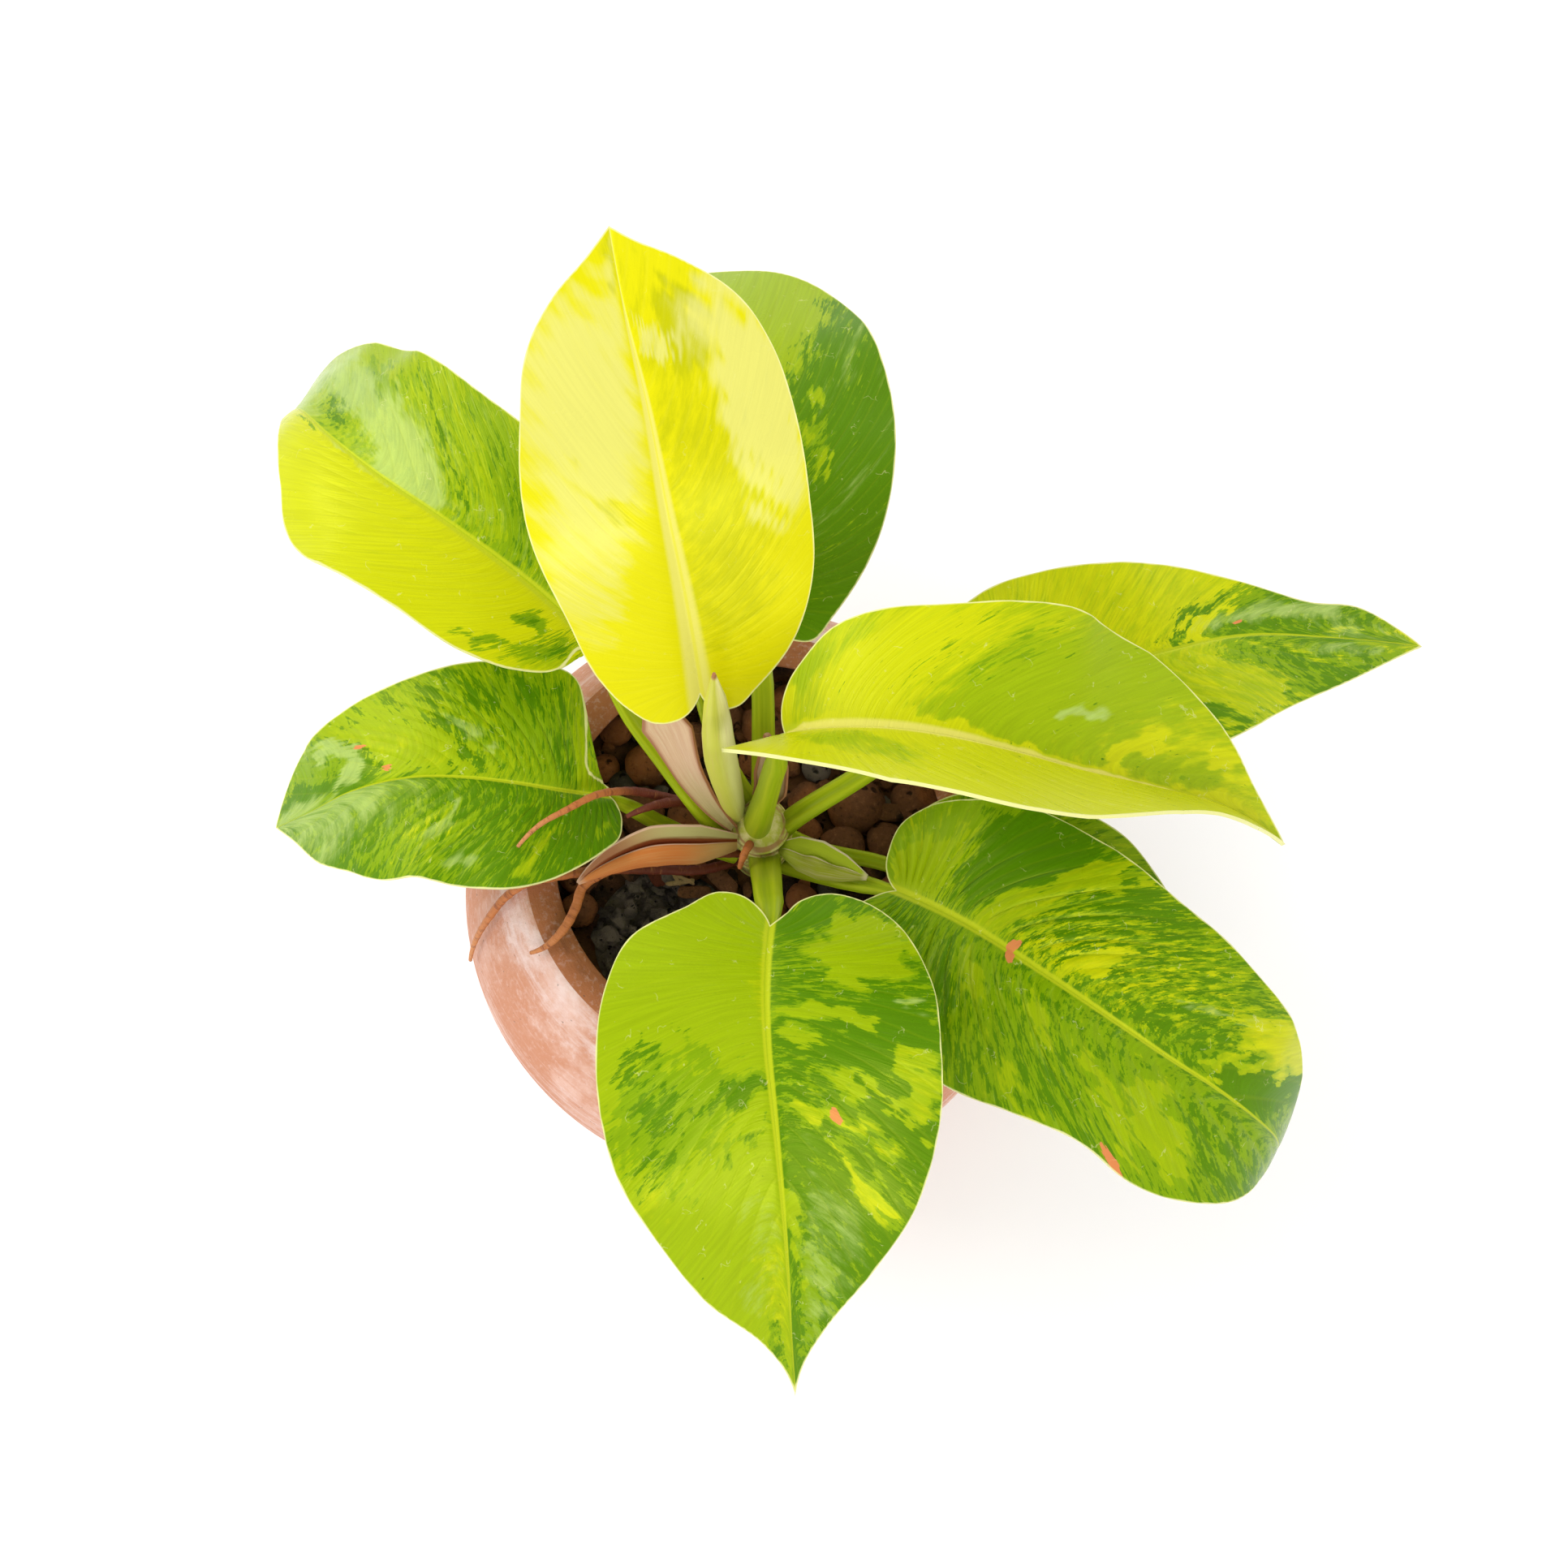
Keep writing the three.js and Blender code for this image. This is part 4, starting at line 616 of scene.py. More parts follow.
class PotSettings(bpy.types.PropertyGroup):
    """Ball-shaped terracotta pot"""

    belly_radius: size_property("Belly radius", "Widest outside radius of the pot", 78.5 * MM)
    belly_level: size_property("Belly level", "Height of the widest place", 74 * MM)
    lower_half: size_property("Lower half", "Half height of the ellipse under the belly", 91.3 * MM)
    upper_half: size_property("Upper half", "Half height of the ellipse over the belly", 72 * MM)
    wall: size_property("Wall", "Thickness of the wall", 8 * MM)
    floor: size_property("Floor", "Thickness of the floor", 9 * MM)
    crest_radius: size_property("Crest radius", "Radius where the shoulder turns into the lip", 59.5 * MM)
    drain_radius: size_property("Drain radius", "Radius of a drain hole", 4.5 * MM)
    drain_circle: size_property("Drain circle", "Distance of the drain holes from the middle", 22 * MM)
    clay: colour_property("Clay", "Fired clay", (0.52, 0.225, 0.125))
    pale_clay: colour_property("Pale clay", "Dry pinkish clay on the shoulder", (0.66, 0.41, 0.325))
    # Whitish bloom, also laid thicker towards the shoulder, where it is partly a painted highlight
    lime_and_highlight: colour_property("Lime", "Whitish bloom", (0.76, 0.61, 0.575))
    lip: colour_property("Lip", "Orange-brown clay of the lip and inside", (0.4, 0.14, 0.05))
    # Darker clay over the inside of the pot, below the lip
    inner_dark_clay: colour_property("Damp clay", "Darker clay deeper inside", (0.2, 0.07, 0.025))
    scuff: colour_property("Scuff", "Dark specks and scuffs", (0.09, 0.06, 0.045))


class BladeSettings(bpy.types.PropertyGroup):
    """Leaf blades"""

    thickness: size_property("Thickness", "Thickness of a blade", 0.8 * MM)
    rows: IntProperty(name="Rows", description="Rows of faces from base to tip", default=150, min=20)
    columns: IntProperty(name="Columns", description="Columns of faces in a half blade", default=26, min=4)
    veins: IntProperty(name="Veins", description="Side veins in a half blade", default=28, min=4)
    newest: colour_property("Newest", "Bright yellow of the newest leaf", (0.61, 0.57, 0.002))
    newest_deep: colour_property("Newest, deep", "Deeper streaks of the newest leaf", (0.44, 0.44, 0.002))
    # Painted sheen of the newest leaf: a pale satin reflection laid into its colour
    satin: colour_property("Satin", "Pale satin bloom of the newest leaf", (0.62, 0.6, 0.2))
    yellow: colour_property("Yellow", "Yellow tissue", (0.48, 0.51, 0.002))
    light: colour_property("Light", "Yellow-green tissue", (0.255, 0.365, 0.002))
    middle: colour_property("Middle", "Half-green tissue", (0.17, 0.295, 0.002))
    dark: colour_property("Dark", "Full green tissue", (0.057, 0.173, 0.001))
    # Painted sheen of the older leaves: a pale grey-green reflection laid into their colour
    painted_sheen: colour_property("Film", "Grey-green film", (0.37, 0.49, 0.13))
    rib: colour_property("Midrib", "Pale midrib", (0.42, 0.48, 0.01))
    new_rib: colour_property("Newest midrib", "Cream midrib of the newest leaf", (0.66, 0.61, 0.13))
    margin: colour_property("Margin", "Pale edge", (0.7, 0.68, 0.3))
    spot: colour_property("Spot", "Pink and orange blemishes", (0.6, 0.19, 0.07))
    under: colour_property("Underside", "Matt underside", (0.24, 0.32, 0.06))
    petiole: colour_property("Petiole", "Leaf stalk", (0.24, 0.33, 0.004))
    petiole_pale: colour_property("Petiole stripe", "Pale stripes of a stalk", (0.35, 0.42, 0.01))


class MediaSettings(bpy.types.PropertyGroup):
    """Clay pebbles, grit and potting mix"""

    pebble: colour_property("Pebble", "Brown expanded clay", (0.35, 0.12, 0.038))
    pebble_grey: colour_property("Grey pebble", "Grey-brown expanded clay", (0.2, 0.08, 0.033))
    pebble_dust: colour_property("Dust", "Pale dust on the pebbles", (0.42, 0.185, 0.085))
    grit: colour_property("Grit", "Dark lava grit", (0.072, 0.058, 0.047))
    grit_dust: colour_property("Grit dust", "Grey dust on the grit", (0.21, 0.165, 0.13))
    bark: colour_property("Bark", "Bark chips", (0.2, 0.085, 0.035))
    straw: colour_property("Straw", "Pale flakes", (0.5, 0.33, 0.15))
    red_bark: colour_property("Red bark", "Dark red flake", (0.16, 0.04, 0.02))
    mix: colour_property("Mix", "Potting mix", (0.035, 0.02, 0.013))


class StemSettings(bpy.types.PropertyGroup):
    """Stem, sheaths and roots"""

    stem: colour_property("Stem", "Pale green stem", (0.42, 0.43, 0.06))
    scar: colour_property("Scar", "Cream streaks of the stem", (0.6, 0.54, 0.22))
    spike: colour_property("Rolled leaf", "Cream middle of the rolled leaf", (0.8, 0.74, 0.36))
    spike_side: colour_property("Rolled leaf side", "Yellow-green side", (0.5, 0.5, 0.07))
    pink: colour_property("Pink sheath", "Pinkish tan sheath", (0.58, 0.37, 0.24))
    pink_pale: colour_property("Pink sheath streaks", "Cream streaks", (0.66, 0.5, 0.33))
    pink_edge: colour_property("Pink sheath edge", "Brown-pink edge", (0.33, 0.13, 0.07))
    dried: colour_property("Dried sheath", "Orange-brown sheath", (0.56, 0.165, 0.045))
    dried_pale: colour_property("Dried sheath edge", "Pale streaks and edge", (0.6, 0.38, 0.27))
    # Dark red of the dried tissue, darkened as painted shade of the channel behind the lip
    dried_red_and_channel_shade: colour_property("Dried inside", "Dark red channel", (0.16, 0.028, 0.01))
    dried_wall: colour_property("Dried wall", "Olive cream at the base", (0.42, 0.37, 0.15))
    green: colour_property("Green sheath", "Green sheath", (0.26, 0.29, 0.02))
    green_inside: colour_property("Green inside", "Bright green inside", (0.34, 0.42, 0.02))
    green_edge: colour_property("Green sheath edge", "Pale edge", (0.62, 0.52, 0.34))
    root: colour_property("Root", "Orange root", (0.48, 0.15, 0.035))
    root_base: colour_property("Root base", "Red-brown old root", (0.14, 0.024, 0.009))
    root_tip: colour_property("Root tip", "Pale young tip", (0.56, 0.23, 0.08))


class StageSettings(bpy.types.PropertyGroup):
    """Floor, light and camera"""

    floor: colour_property("Floor", "Pale floor", (0.92, 0.92, 0.92))
    zenith: amount_property("Zenith", "Strength of the light from above", 0.9)
    horizon: amount_property("Horizon", "Strength of the light from the sides", 1.4)
    key: amount_property("Key", "Power of the large side lamp", 6, "POWER")
    front: amount_property("Front", "Power of the front lamp", 3.5, "POWER")


def blend(values, share):
    """A value between the entries of an evenly spaced list."""
    return np.interp(share, np.linspace(0, 1, len(values)), values)


def dot(first, second):
    return np.sum(first * second, axis=-1, keepdims=True)


def unit(vectors):
    return vectors / np.linalg.norm(vectors, axis=-1, keepdims=True)


class SmoothPath:
    """Smooth curve through points, measured by the distance along its chords."""

    def __init__(self, points):
        self.points = np.array(points, float)
        self.chords = np.linalg.norm(np.diff(self.points, axis=0), axis=1)
        self.starts = np.concatenate([[0], np.cumsum(self.chords)])
        self.length = self.starts[-1]
        slopes = np.diff(self.points, axis=0) / self.chords[:, None]
        before = self.chords[:-1, None]
        after = self.chords[1:, None]
        inner = (slopes[:-1] * after + slopes[1:] * before) / (before + after)
        self.tangents = np.vstack([2 * slopes[:1] - inner[:1], inner, 2 * slopes[-1:] - inner[-1:]])

    def at(self, distance):
        place = np.clip(np.asarray(distance, float), 0, self.length)
        first = np.clip(np.searchsorted(self.starts, place, side="right") - 1, 0, len(self.chords) - 1)
        chord = self.chords[first][..., None]
        x = (place - self.starts[first])[..., None] / chord
        return ((2 * x ** 3 - 3 * x ** 2 + 1) * self.points[first]
                + (x ** 3 - 2 * x ** 2 + x) * chord * self.tangents[first]
                + (3 * x ** 2 - 2 * x ** 3) * self.points[first + 1]
                + (x ** 3 - x ** 2) * chord * self.tangents[first + 1])

    def heading(self, distance):
        nudge = self.length * PATH_NUDGE
        return unit(self.at(distance + nudge) - self.at(distance - nudge))


def face_frame(path, distance, turn):
    """Along, across and out-of-face directions of a blade or trough."""
    along = path.heading(distance)
    level = unit(np.cross(along, UPWARDS))
    angle = np.radians(turn)[..., None]
    across = level * np.cos(angle) - np.cross(along, level) * np.sin(angle)
    return along, across, np.cross(across, along)


def bent_point(middle, across, out, side, width, fold, curl):
    """Point of a half blade that starts at the fold and bends by curl."""
    start = np.radians(fold)
    bend = np.radians(curl) / CURL_REFERENCE
    flat = np.abs(bend) < NO_BEND
    safe = np.where(flat, 1, bend)
    over = np.where(flat, np.cos(start) * width, (np.sin(start + safe * width) - np.sin(start)) / safe)
    lift = np.where(flat, np.sin(start) * width, (np.cos(start) - np.cos(start + safe * width)) / safe)
    return middle + across * (side * over)[..., None] + out * lift[..., None]


def ripple(points, scale, seed=0):
    """Smooth uneven value between -1 and 1 that changes over a length given by scale."""
    total = 0
    for k, turn in enumerate((0.0, 1.3, 2.1, 3.7)):
        way = np.array([math.cos(turn + seed), math.sin(turn * 1.7 + seed), math.cos(turn * 0.6 + 2 * seed)])
        total = total + np.sin(points @ way * (1.7 + 0.9 * k) / scale + seed * (k + 1) * 2.3)
    return total / 4


def two_ripples(points, scales, seed):
    """A coarse ripple with a weaker fine one on it."""
    return ripple(points, scales[0], seed) + FINE_RIPPLE * ripple(points, scales[1], seed + 1)


def round_points(centre, radius, angle, level):
    """Points at a radius from an upright line."""
    return np.stack([centre[0] + radius * np.cos(angle), centre[1] + radius * np.sin(angle), level], axis=1)


def deselect_all():
    bpy.ops.object.select_all(action="DESELECT")


def make_active(piece):
    deselect_all()
    piece.select_set(True)
    bpy.context.view_layer.objects.active = piece


def in_edit_mode(piece, *steps):
    """Runs edit-mode steps on the whole of a piece."""
    make_active(piece)
    bpy.ops.object.mode_set(mode="EDIT")
    bpy.ops.mesh.select_all(action="SELECT")
    for step, options in steps:
        step(**options)
    bpy.ops.object.mode_set(mode="OBJECT")


def edit_edges(piece, chosen, step, **options):
    """Runs an edit-mode step on the edges of a new piece that a test picks."""
    tools = bpy.context.tool_settings
    bpy.ops.object.mode_set(mode="EDIT")
    tools.mesh_select_mode = (False, True, False)
    bpy.ops.mesh.select_all(action="DESELECT")
    bpy.ops.object.mode_set(mode="OBJECT")
    for edge in piece.data.edges:
        edge.select = chosen(*edge.vertices)
    bpy.ops.object.mode_set(mode="EDIT")
    step(**options)
    tools.mesh_select_mode = (True, False, False)
    bpy.ops.object.mode_set(mode="OBJECT")


def apply_modifier(piece, kind, **settings):
    make_active(piece)
    modifier = piece.modifiers.new(kind.title(), kind)
    for name, value in settings.items():
        setattr(modifier, name, value)
    bpy.ops.object.modifier_apply(modifier=modifier.name)


def coordinates(piece):
    values = np.empty(len(piece.data.vertices) * 3)
    piece.data.vertices.foreach_get("co", values)
    return values.reshape(-1, 3)


def set_coordinates(piece, points):
    piece.data.vertices.foreach_set("co", np.asarray(points, float).ravel())
    piece.data.update()


def plant_to_scene(points):
    """Metres in the scene from millimetres measured at the rim's level."""
    return (np.asarray(points, float) + [0, 0, RIM]) * MM


def set_attribute(piece, name, *columns):
    """Notes three values at each vertex, for a material to read."""
    attribute = piece.data.attributes.new(name, "FLOAT_VECTOR", "POINT")
    attribute.data.foreach_set("vector", np.stack(columns, axis=1).astype(float).ravel())


def get_attribute(piece, name):
    values = np.empty(len(piece.data.vertices) * 3)
    piece.data.attributes[name].data.foreach_get("vector", values)
    return values.reshape(-1, 3)


def name_piece(piece, name):
    piece.name = name
    piece.data.name = name


def new_grid(name, rows, columns):
    """Grid and, for each of its vertices, the share of the way along and the share across."""
    deselect_all()
    bpy.ops.mesh.primitive_grid_add(x_subdivisions=columns, y_subdivisions=rows, size=1)
    piece = bpy.context.active_object
    name_piece(piece, name)
    shares = coordinates(piece)
    return piece, shares[:, 1] + 0.5, shares[:, 0] + 0.5


def new_tube(name, sides, rings):
    """Closed cylinder cut into rings, with each vertex's share of the height and angle."""
    deselect_all()
    bpy.ops.mesh.primitive_cylinder_add(vertices=sides, radius=1, depth=1)
    piece = bpy.context.active_object
    name_piece(piece, name)
    upper = coordinates(piece)[:, 2] > 0
    edit_edges(piece, lambda start, end: upper[start] != upper[end], bpy.ops.mesh.subdivide,
               number_cuts=rings - 1)
    points = coordinates(piece)
    return piece, points[:, 2] + 0.5, np.arctan2(points[:, 1], points[:, 0])


def smooth(piece):
    make_active(piece)
    bpy.ops.object.shade_smooth_by_angle(angle=math.radians(SMOOTH_BELOW))


def dress(piece, *materials):
    """Puts materials on a piece and smooths it."""
    for material in materials:
        piece.data.materials.append(material)
    smooth(piece)


def joined(pieces):
    make_active(pieces[0])
    for piece in pieces:
        piece.select_set(True)
    bpy.ops.object.join()
    return bpy.context.active_object


def finish_piece(piece, nodes):
    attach(piece, BODY)
    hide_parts(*nodes)


class Finish:
    """A material: its nodes lay one colour over another, from the ground up."""

    def __init__(self, name, ground, roughness=0.5, specular=0.5, tint=(1, 1, 1)):
        self.painted = ground
        self.material = bpy.data.materials.new(name)
        self.material.use_nodes = True
        self.tree = self.material.node_tree
        self.shader = self.tree.nodes["Principled BSDF"]
        self.shader.inputs["Roughness"].default_value = roughness
        self.shader.inputs["Specular IOR Level"].default_value = specular
        self.shader.inputs["Specular Tint"].default_value = (*tint, 1)

    def put(self, kind, values, output=0, **settings):
        node = self.tree.nodes.new("ShaderNode" + kind)
        for name, value in settings.items():
            setattr(node, name, value)
        for key, value in values.items():
            if isinstance(value, bpy.types.NodeSocket):
                self.tree.links.new(value, node.inputs[key])
            else:
                node.inputs[key].default_value = value
        return node.outputs[output]

    def maths(self, operation, first, second=0.0):
        return self.put("Math", {0: first, 1: second}, operation=operation)

    def times(self, first, second):
        return self.maths("MULTIPLY", first, second)

    def plus(self, first, second):
        return self.maths("ADD", first, second)

    def minus(self, first, second):
        return self.maths("SUBTRACT", first, second)

    def size(self, value):
        return self.maths("ABSOLUTE", value)

    def mixed(self, share, first, second):
        first = first if isinstance(first, bpy.types.NodeSocket) else (*first, 1)
        second = second if isinstance(second, bpy.types.NodeSocket) else (*second, 1)
        return self.put("Mix", {0: share, 6: first, 7: second}, output=2, data_type="RGBA")

    def noise(self, vector, scale, detail=3.0, roughness=0.55):
        return self.put("TexNoise", {"Vector": vector, "Scale": scale, "Detail": detail,
                                     "Roughness": roughness})

    def streaks(self, first, second, detail, roughness, third=0.0):
        """Noise over two values, each given with its scale, and a third one."""
        vector = self.vector(self.times(*first), self.times(*second), third)
        return self.noise(vector, 1.0, detail, roughness)

    def uneven(self, value, noise, spread):
        """A value that noise moves up and down by half the spread."""
        return self.plus(self.times(self.minus(noise, 0.5), spread), value)

    def step(self, value, low, high, start=0.0, end=1.0):
        """Goes smoothly from start to end while the value goes from low to high."""
        return self.put("MapRange", {0: value, 1: low, 2: high, 3: start, 4: end},
                        interpolation_type="SMOOTHSTEP")

    def cover(self, share, colour):
        """Lays a share of a colour over what is painted so far."""
        self.painted = self.mixed(share, self.painted, colour)

    def lay(self, colour, value, low, high, start=0.0, end=1.0):
        """Lays a colour over what is painted so far, by a smooth step."""
        self.cover(self.step(value, low, high, start, end), colour)

    def place(self, x_scale=1.0, y_scale=1.0, z_scale=1.0):
        vector = self.put("TexCoord", {}, output=3)
        return self.put("Mapping", {0: vector, 3: (x_scale, y_scale, z_scale)})

    def split(self, vector):
        node = self.tree.nodes.new("ShaderNodeSeparateXYZ")
        self.tree.links.new(vector, node.inputs[0])
        return node.outputs[0], node.outputs[1], node.outputs[2]

    def attribute(self, name):
        return self.split(self.put("Attribute", {}, output=1, attribute_name=name))

    def vector(self, x, y, z):
        return self.put("CombineXYZ", {0: x, 1: y, 2: z})

    def connect(self, value, name):
        self.tree.links.new(value, self.shader.inputs[name])

    def bump(self, height, distance, strength):
        normal = self.put("Bump", {"Height": height, "Distance": distance, "Strength": strength})
        self.connect(normal, "Normal")

    def painted_material(self):
        self.connect(self.painted, "Base Color")
        return self.material


def blade_finish(name, settings, below=False, newest=False):
    """Face of a blade, from its flat place, its veins and its colour patches."""
    light = settings.newest if newest else settings.light
    yellow = settings.newest_deep if newest else settings.yellow
    painted_sheen = settings.satin if newest else settings.painted_sheen
    rib = settings.new_rib if newest else settings.rib
    contrast = 0.35 if newest else 1.0
    finish = Finish(name, light, 0.55 if below else 0.3, 0.25 if below else 0.42, SHEEN)
    distance, offset, rib_place = finish.attribute("leaf_flat")
    across, run, edge = finish.attribute("leaf_vein")
    middle_bias, dark_bias, painted_sheen_bias = finish.attribute("leaf_tone")
    yellow_bias, spot_bias, number = finish.attribute("leaf_mark")

    def streaks(fine, length, seed, detail=8.0, roughness=0.7):
        return finish.streaks((across, fine), (run, length), detail, roughness, seed)

    shared = finish.mixed(0.4, streaks(0.45, 0.13, 0.0), streaks(1.1, 0.22, 4.0))
    finer = finish.mixed(0.45, shared, streaks(0.8, 0.16, 7.0))
    finish.lay(yellow, finish.uneven(yellow_bias, streaks(0.4, 0.1, 3.0), 1.2), 0.25, 0.75)
    if not newest:
        finish.lay(settings.middle, finish.uneven(middle_bias, finer, 4.0), 0.42, 0.58)
        finish.lay(settings.dark, finish.uneven(dark_bias, shared, 4.5), 0.42, 0.58, 0.0, 0.94)
    # Painted sheen: pale reflection laid over the colour in streaks, satin on the newest leaf and grey-green
    # on the others
    painted_sheen_streaks = finish.uneven(painted_sheen_bias, streaks(0.3, 0.05, 5.0), 0.9 if newest else 1.6)
    finish.lay(painted_sheen, painted_sheen_streaks, 0.2, 0.85, 0.0, 0.65 if newest else 0.75)

    # Fine streaks of shade, and the side veins
    fine = streaks(1.3, 0.05, 9.0, 3.0, 0.6)
    shade = finish.step(fine, 0.3, 0.7, 1 - 0.08 * contrast, 1 + 0.07 * contrast)
    shades = finish.vector(shade, shade, shade)
    finish.painted = finish.put("VectorMath", {0: finish.painted, 1: shades}, operation="MULTIPLY")
    turn = finish.size(finish.minus(finish.maths("FRACT", number), 0.5))
    vein = finish.step(turn, 0.38, 0.49)
    finish.cover(finish.times(vein, 0.07 * contrast), rib)

    # Midrib with a painted shade line along its groove, and the blemishes
    rib = finish.mixed(finish.step(yellow_bias, 0.85, 1.3), rib, settings.new_rib)
    finish.lay(rib, finish.size(rib_place), 0.65, 1.2, 0.9, 0.0)
    if not below:
        # Painted shade: a darker line of leaf colour along one side of the midrib, where its groove lies
        finish.lay(light, finish.size(finish.minus(rib_place, 0.2)), 0.06, 0.25, 0.5, 0.0)
    spot = streaks(0.8, 0.5, 1.0, 3.0, 0.6)
    finish.lay(settings.spot, finish.uneven(spot_bias, spot, 0.8), 0.42, 0.5)

    # Thin winding marks and dust on the upper face
    flat = finish.vector(distance, offset, 0.0)
    if not below:
        winding = finish.size(finish.minus(finish.noise(flat, 0.16, 3.0, 0.5), 0.5))
        patchy = finish.step(finish.noise(flat, 0.22, 2.0), 0.58, 0.64, 0.0, 0.3 * contrast)
        mark = finish.times(finish.step(winding, 0.003, 0.009, 1.0, 0.0), patchy)
        dust = finish.step(finish.noise(flat, 1.1, 2.0), 0.76, 0.8, 0.0, 0.5 * contrast)
        finish.cover(finish.maths("MAXIMUM", mark, dust), settings.margin)
    finish.lay(settings.margin, edge, 0.2, 0.5, 0.9, 0.0)
    if below:
        finish.cover(0.6, settings.under)
    else:
        gloss = finish.noise(flat, 0.05, 4.0, 0.6)
        finish.connect(finish.step(gloss, 0.3, 0.7, 0.22, 0.36), "Roughness")
    finish.bump(finish.plus(fine, finish.times(vein, -0.3)), 0.0003, 0.3 * contrast)
    return finish.painted_material()


def petiole_finish(settings):
    """Leaf stalk with pale lengthwise stripes."""
    finish = Finish("petiole_skin", settings.petiole, roughness=0.36, tint=SHEEN)
    distance, turned, _ = finish.attribute("leaf_flat")
    stripes = finish.streaks((distance, 0.012), (turned, 9.0), 4.0, 0.6)
    finish.lay(settings.petiole_pale, stripes, 0.4, 0.62)
    from_channel = finish.size(finish.minus(turned, 0.25))
    from_edge = finish.size(finish.minus(from_channel, 0.14))
    finish.lay(settings.petiole_pale, from_edge, 0.012, 0.04, 0.45, 0.0)
    finish.bump(stripes, 0.0004, 0.4)
    return finish.painted_material()


def plain_finish(name, colour, roughness=0.5):
    darker = tuple(0.72 * part for part in colour)
    finish = Finish(name, darker, roughness)
    finish.lay(colour, finish.noise(finish.place(), 180.0, 4.0, 0.6), 0.35, 0.65)
    return finish.painted_material()


def clay_finish(name, settings, inside=False):
    """Fired clay with turning marks, a whitish bloom that is partly a painted highlight on the shoulder, and
    dark specks.
    """
    # Inside, the ground is the darker clay, with the lip's colour laid over its top
    finish = Finish(name, settings.inner_dark_clay if inside else settings.clay, roughness=0.75, specular=0.3)
    place = finish.place()
    reach = finish.put("VectorMath", {0: finish.place(1, 1, 0)}, output=1, operation="LENGTH")
    height = finish.split(place)[2]
    broad = finish.noise(place, 32.0, 6.0, 0.65)
    grain = finish.noise(place, 700.0, 4.0, 0.65)
    rings = finish.streaks((reach, 480.0), (height, 300.0), 5.0, 0.6, finish.times(broad, 2.5))
    if inside:
        finish.lay(settings.lip, height, 0.112, 0.126)
        finish.lay(settings.pale_clay, rings, 0.52, 0.7, 0.0, 0.3)
        finish.lay(settings.inner_dark_clay, rings, 0.3, 0.42, 0.6, 0.0)
    else:
        finish.lay(settings.pale_clay, broad, 0.46, 0.68)
        # Whitish bloom that grows towards the shoulder: real bloom, and in part a painted highlight where the
        # shoulder faces the light
        shoulder = finish.step(height, 0.098, 0.121, 0.0, 0.16)
        bloom = finish.noise(finish.place(1, 1, 1.6), 75.0, 8.0, 0.75)
        finish.lay(settings.lime_and_highlight, finish.plus(bloom, shoulder), 0.55, 0.78, 0.0, 0.65)
        finish.lay(settings.lime_and_highlight, rings, 0.5, 0.66, 0.0, 0.4)
        finish.lay(settings.clay, rings, 0.33, 0.43, 0.35, 0.0)
        rubbed = finish.noise(finish.place(1, 1, 0.5), 48.0)
        finish.lay(settings.scuff, rubbed, 0.7, 0.74, 0.0, 0.6)
    finish.lay(settings.scuff, finish.noise(place, 620.0, 2.0), 0.7, 0.76, 0.0, 0.7)
    finish.lay(settings.lime_and_highlight, grain, 0.5, 0.7, 0.0, 0.22)
    finish.bump(finish.plus(rings, grain), 0.0006, 0.6)
    return finish.painted_material()


def stone_finish(name, dark, light, dust, pore_share=0.0, fineness=1.0):
    """Rough stone with painted shade in the hollows of its grain, and open pores, also shaded, where a share
    is given.
    """
    finish = Finish(name, dark, roughness=0.95, specular=0.15)
    place = finish.place(fineness, fineness, fineness)
    grain = finish.noise(place, 620.0, 8.0, 0.8)
    # Painted shade: nearly black, laid in the hollows of the grain and, below, in the pores
    deep = tuple(0.12 * part for part in dark)
    finish.lay(light, finish.noise(place, 75.0, 1.0), 0.4, 0.6)
    finish.lay(dust, grain, 0.52, 0.68, 0.0, 0.65)
    finish.lay(deep, grain, 0.34, 0.46, 0.75, 0.0)
    height = finish.times(grain, 0.8)
    if pore_share:
        cell = finish.put("TexVoronoi", {"Vector": place, "Scale": 300.0})
        open_here = finish.step(finish.noise(place, 180.0, 2.0), 0.6 - pore_share, 0.64 - pore_share)
        pit = finish.times(finish.step(cell, 0.18, 0.36, 1.0, 0.0), open_here)
        # Painted shade in the pores
        finish.cover(finish.times(pit, 0.9), deep)
        height = finish.minus(height, finish.times(pit, 1.5))
    finish.bump(height, 0.0018, 1.0)
    return finish.painted_material()


def fibre_finish(name, face, streak, edge, edge_start, base=None):
    """Skin with lengthwise fibres, coloured edges and, if given, another colour at its base."""
    finish = Finish(name, face, specular=0.3, tint=SHEEN)
    distance, signed, share = finish.attribute("sheath_place")
    fibres = finish.streaks((distance, 0.05), (signed, 9.0), 6.0, 0.65)
    finish.lay(streak, fibres, 0.38, 0.66, 0.0, 0.7)
    if base:
        finish.lay(base, share, 0.1, 0.55, 0.75, 0.0)
    side = finish.plus(finish.size(signed), finish.times(fibres, 0.25))
    finish.lay(edge, side, edge_start, edge_start + 0.3)
    finish.lay(edge, share, 0.9, 1.0, 0.0, 0.6)
    finish.bump(fibres, 0.0005, 0.5)
    return finish.painted_material()


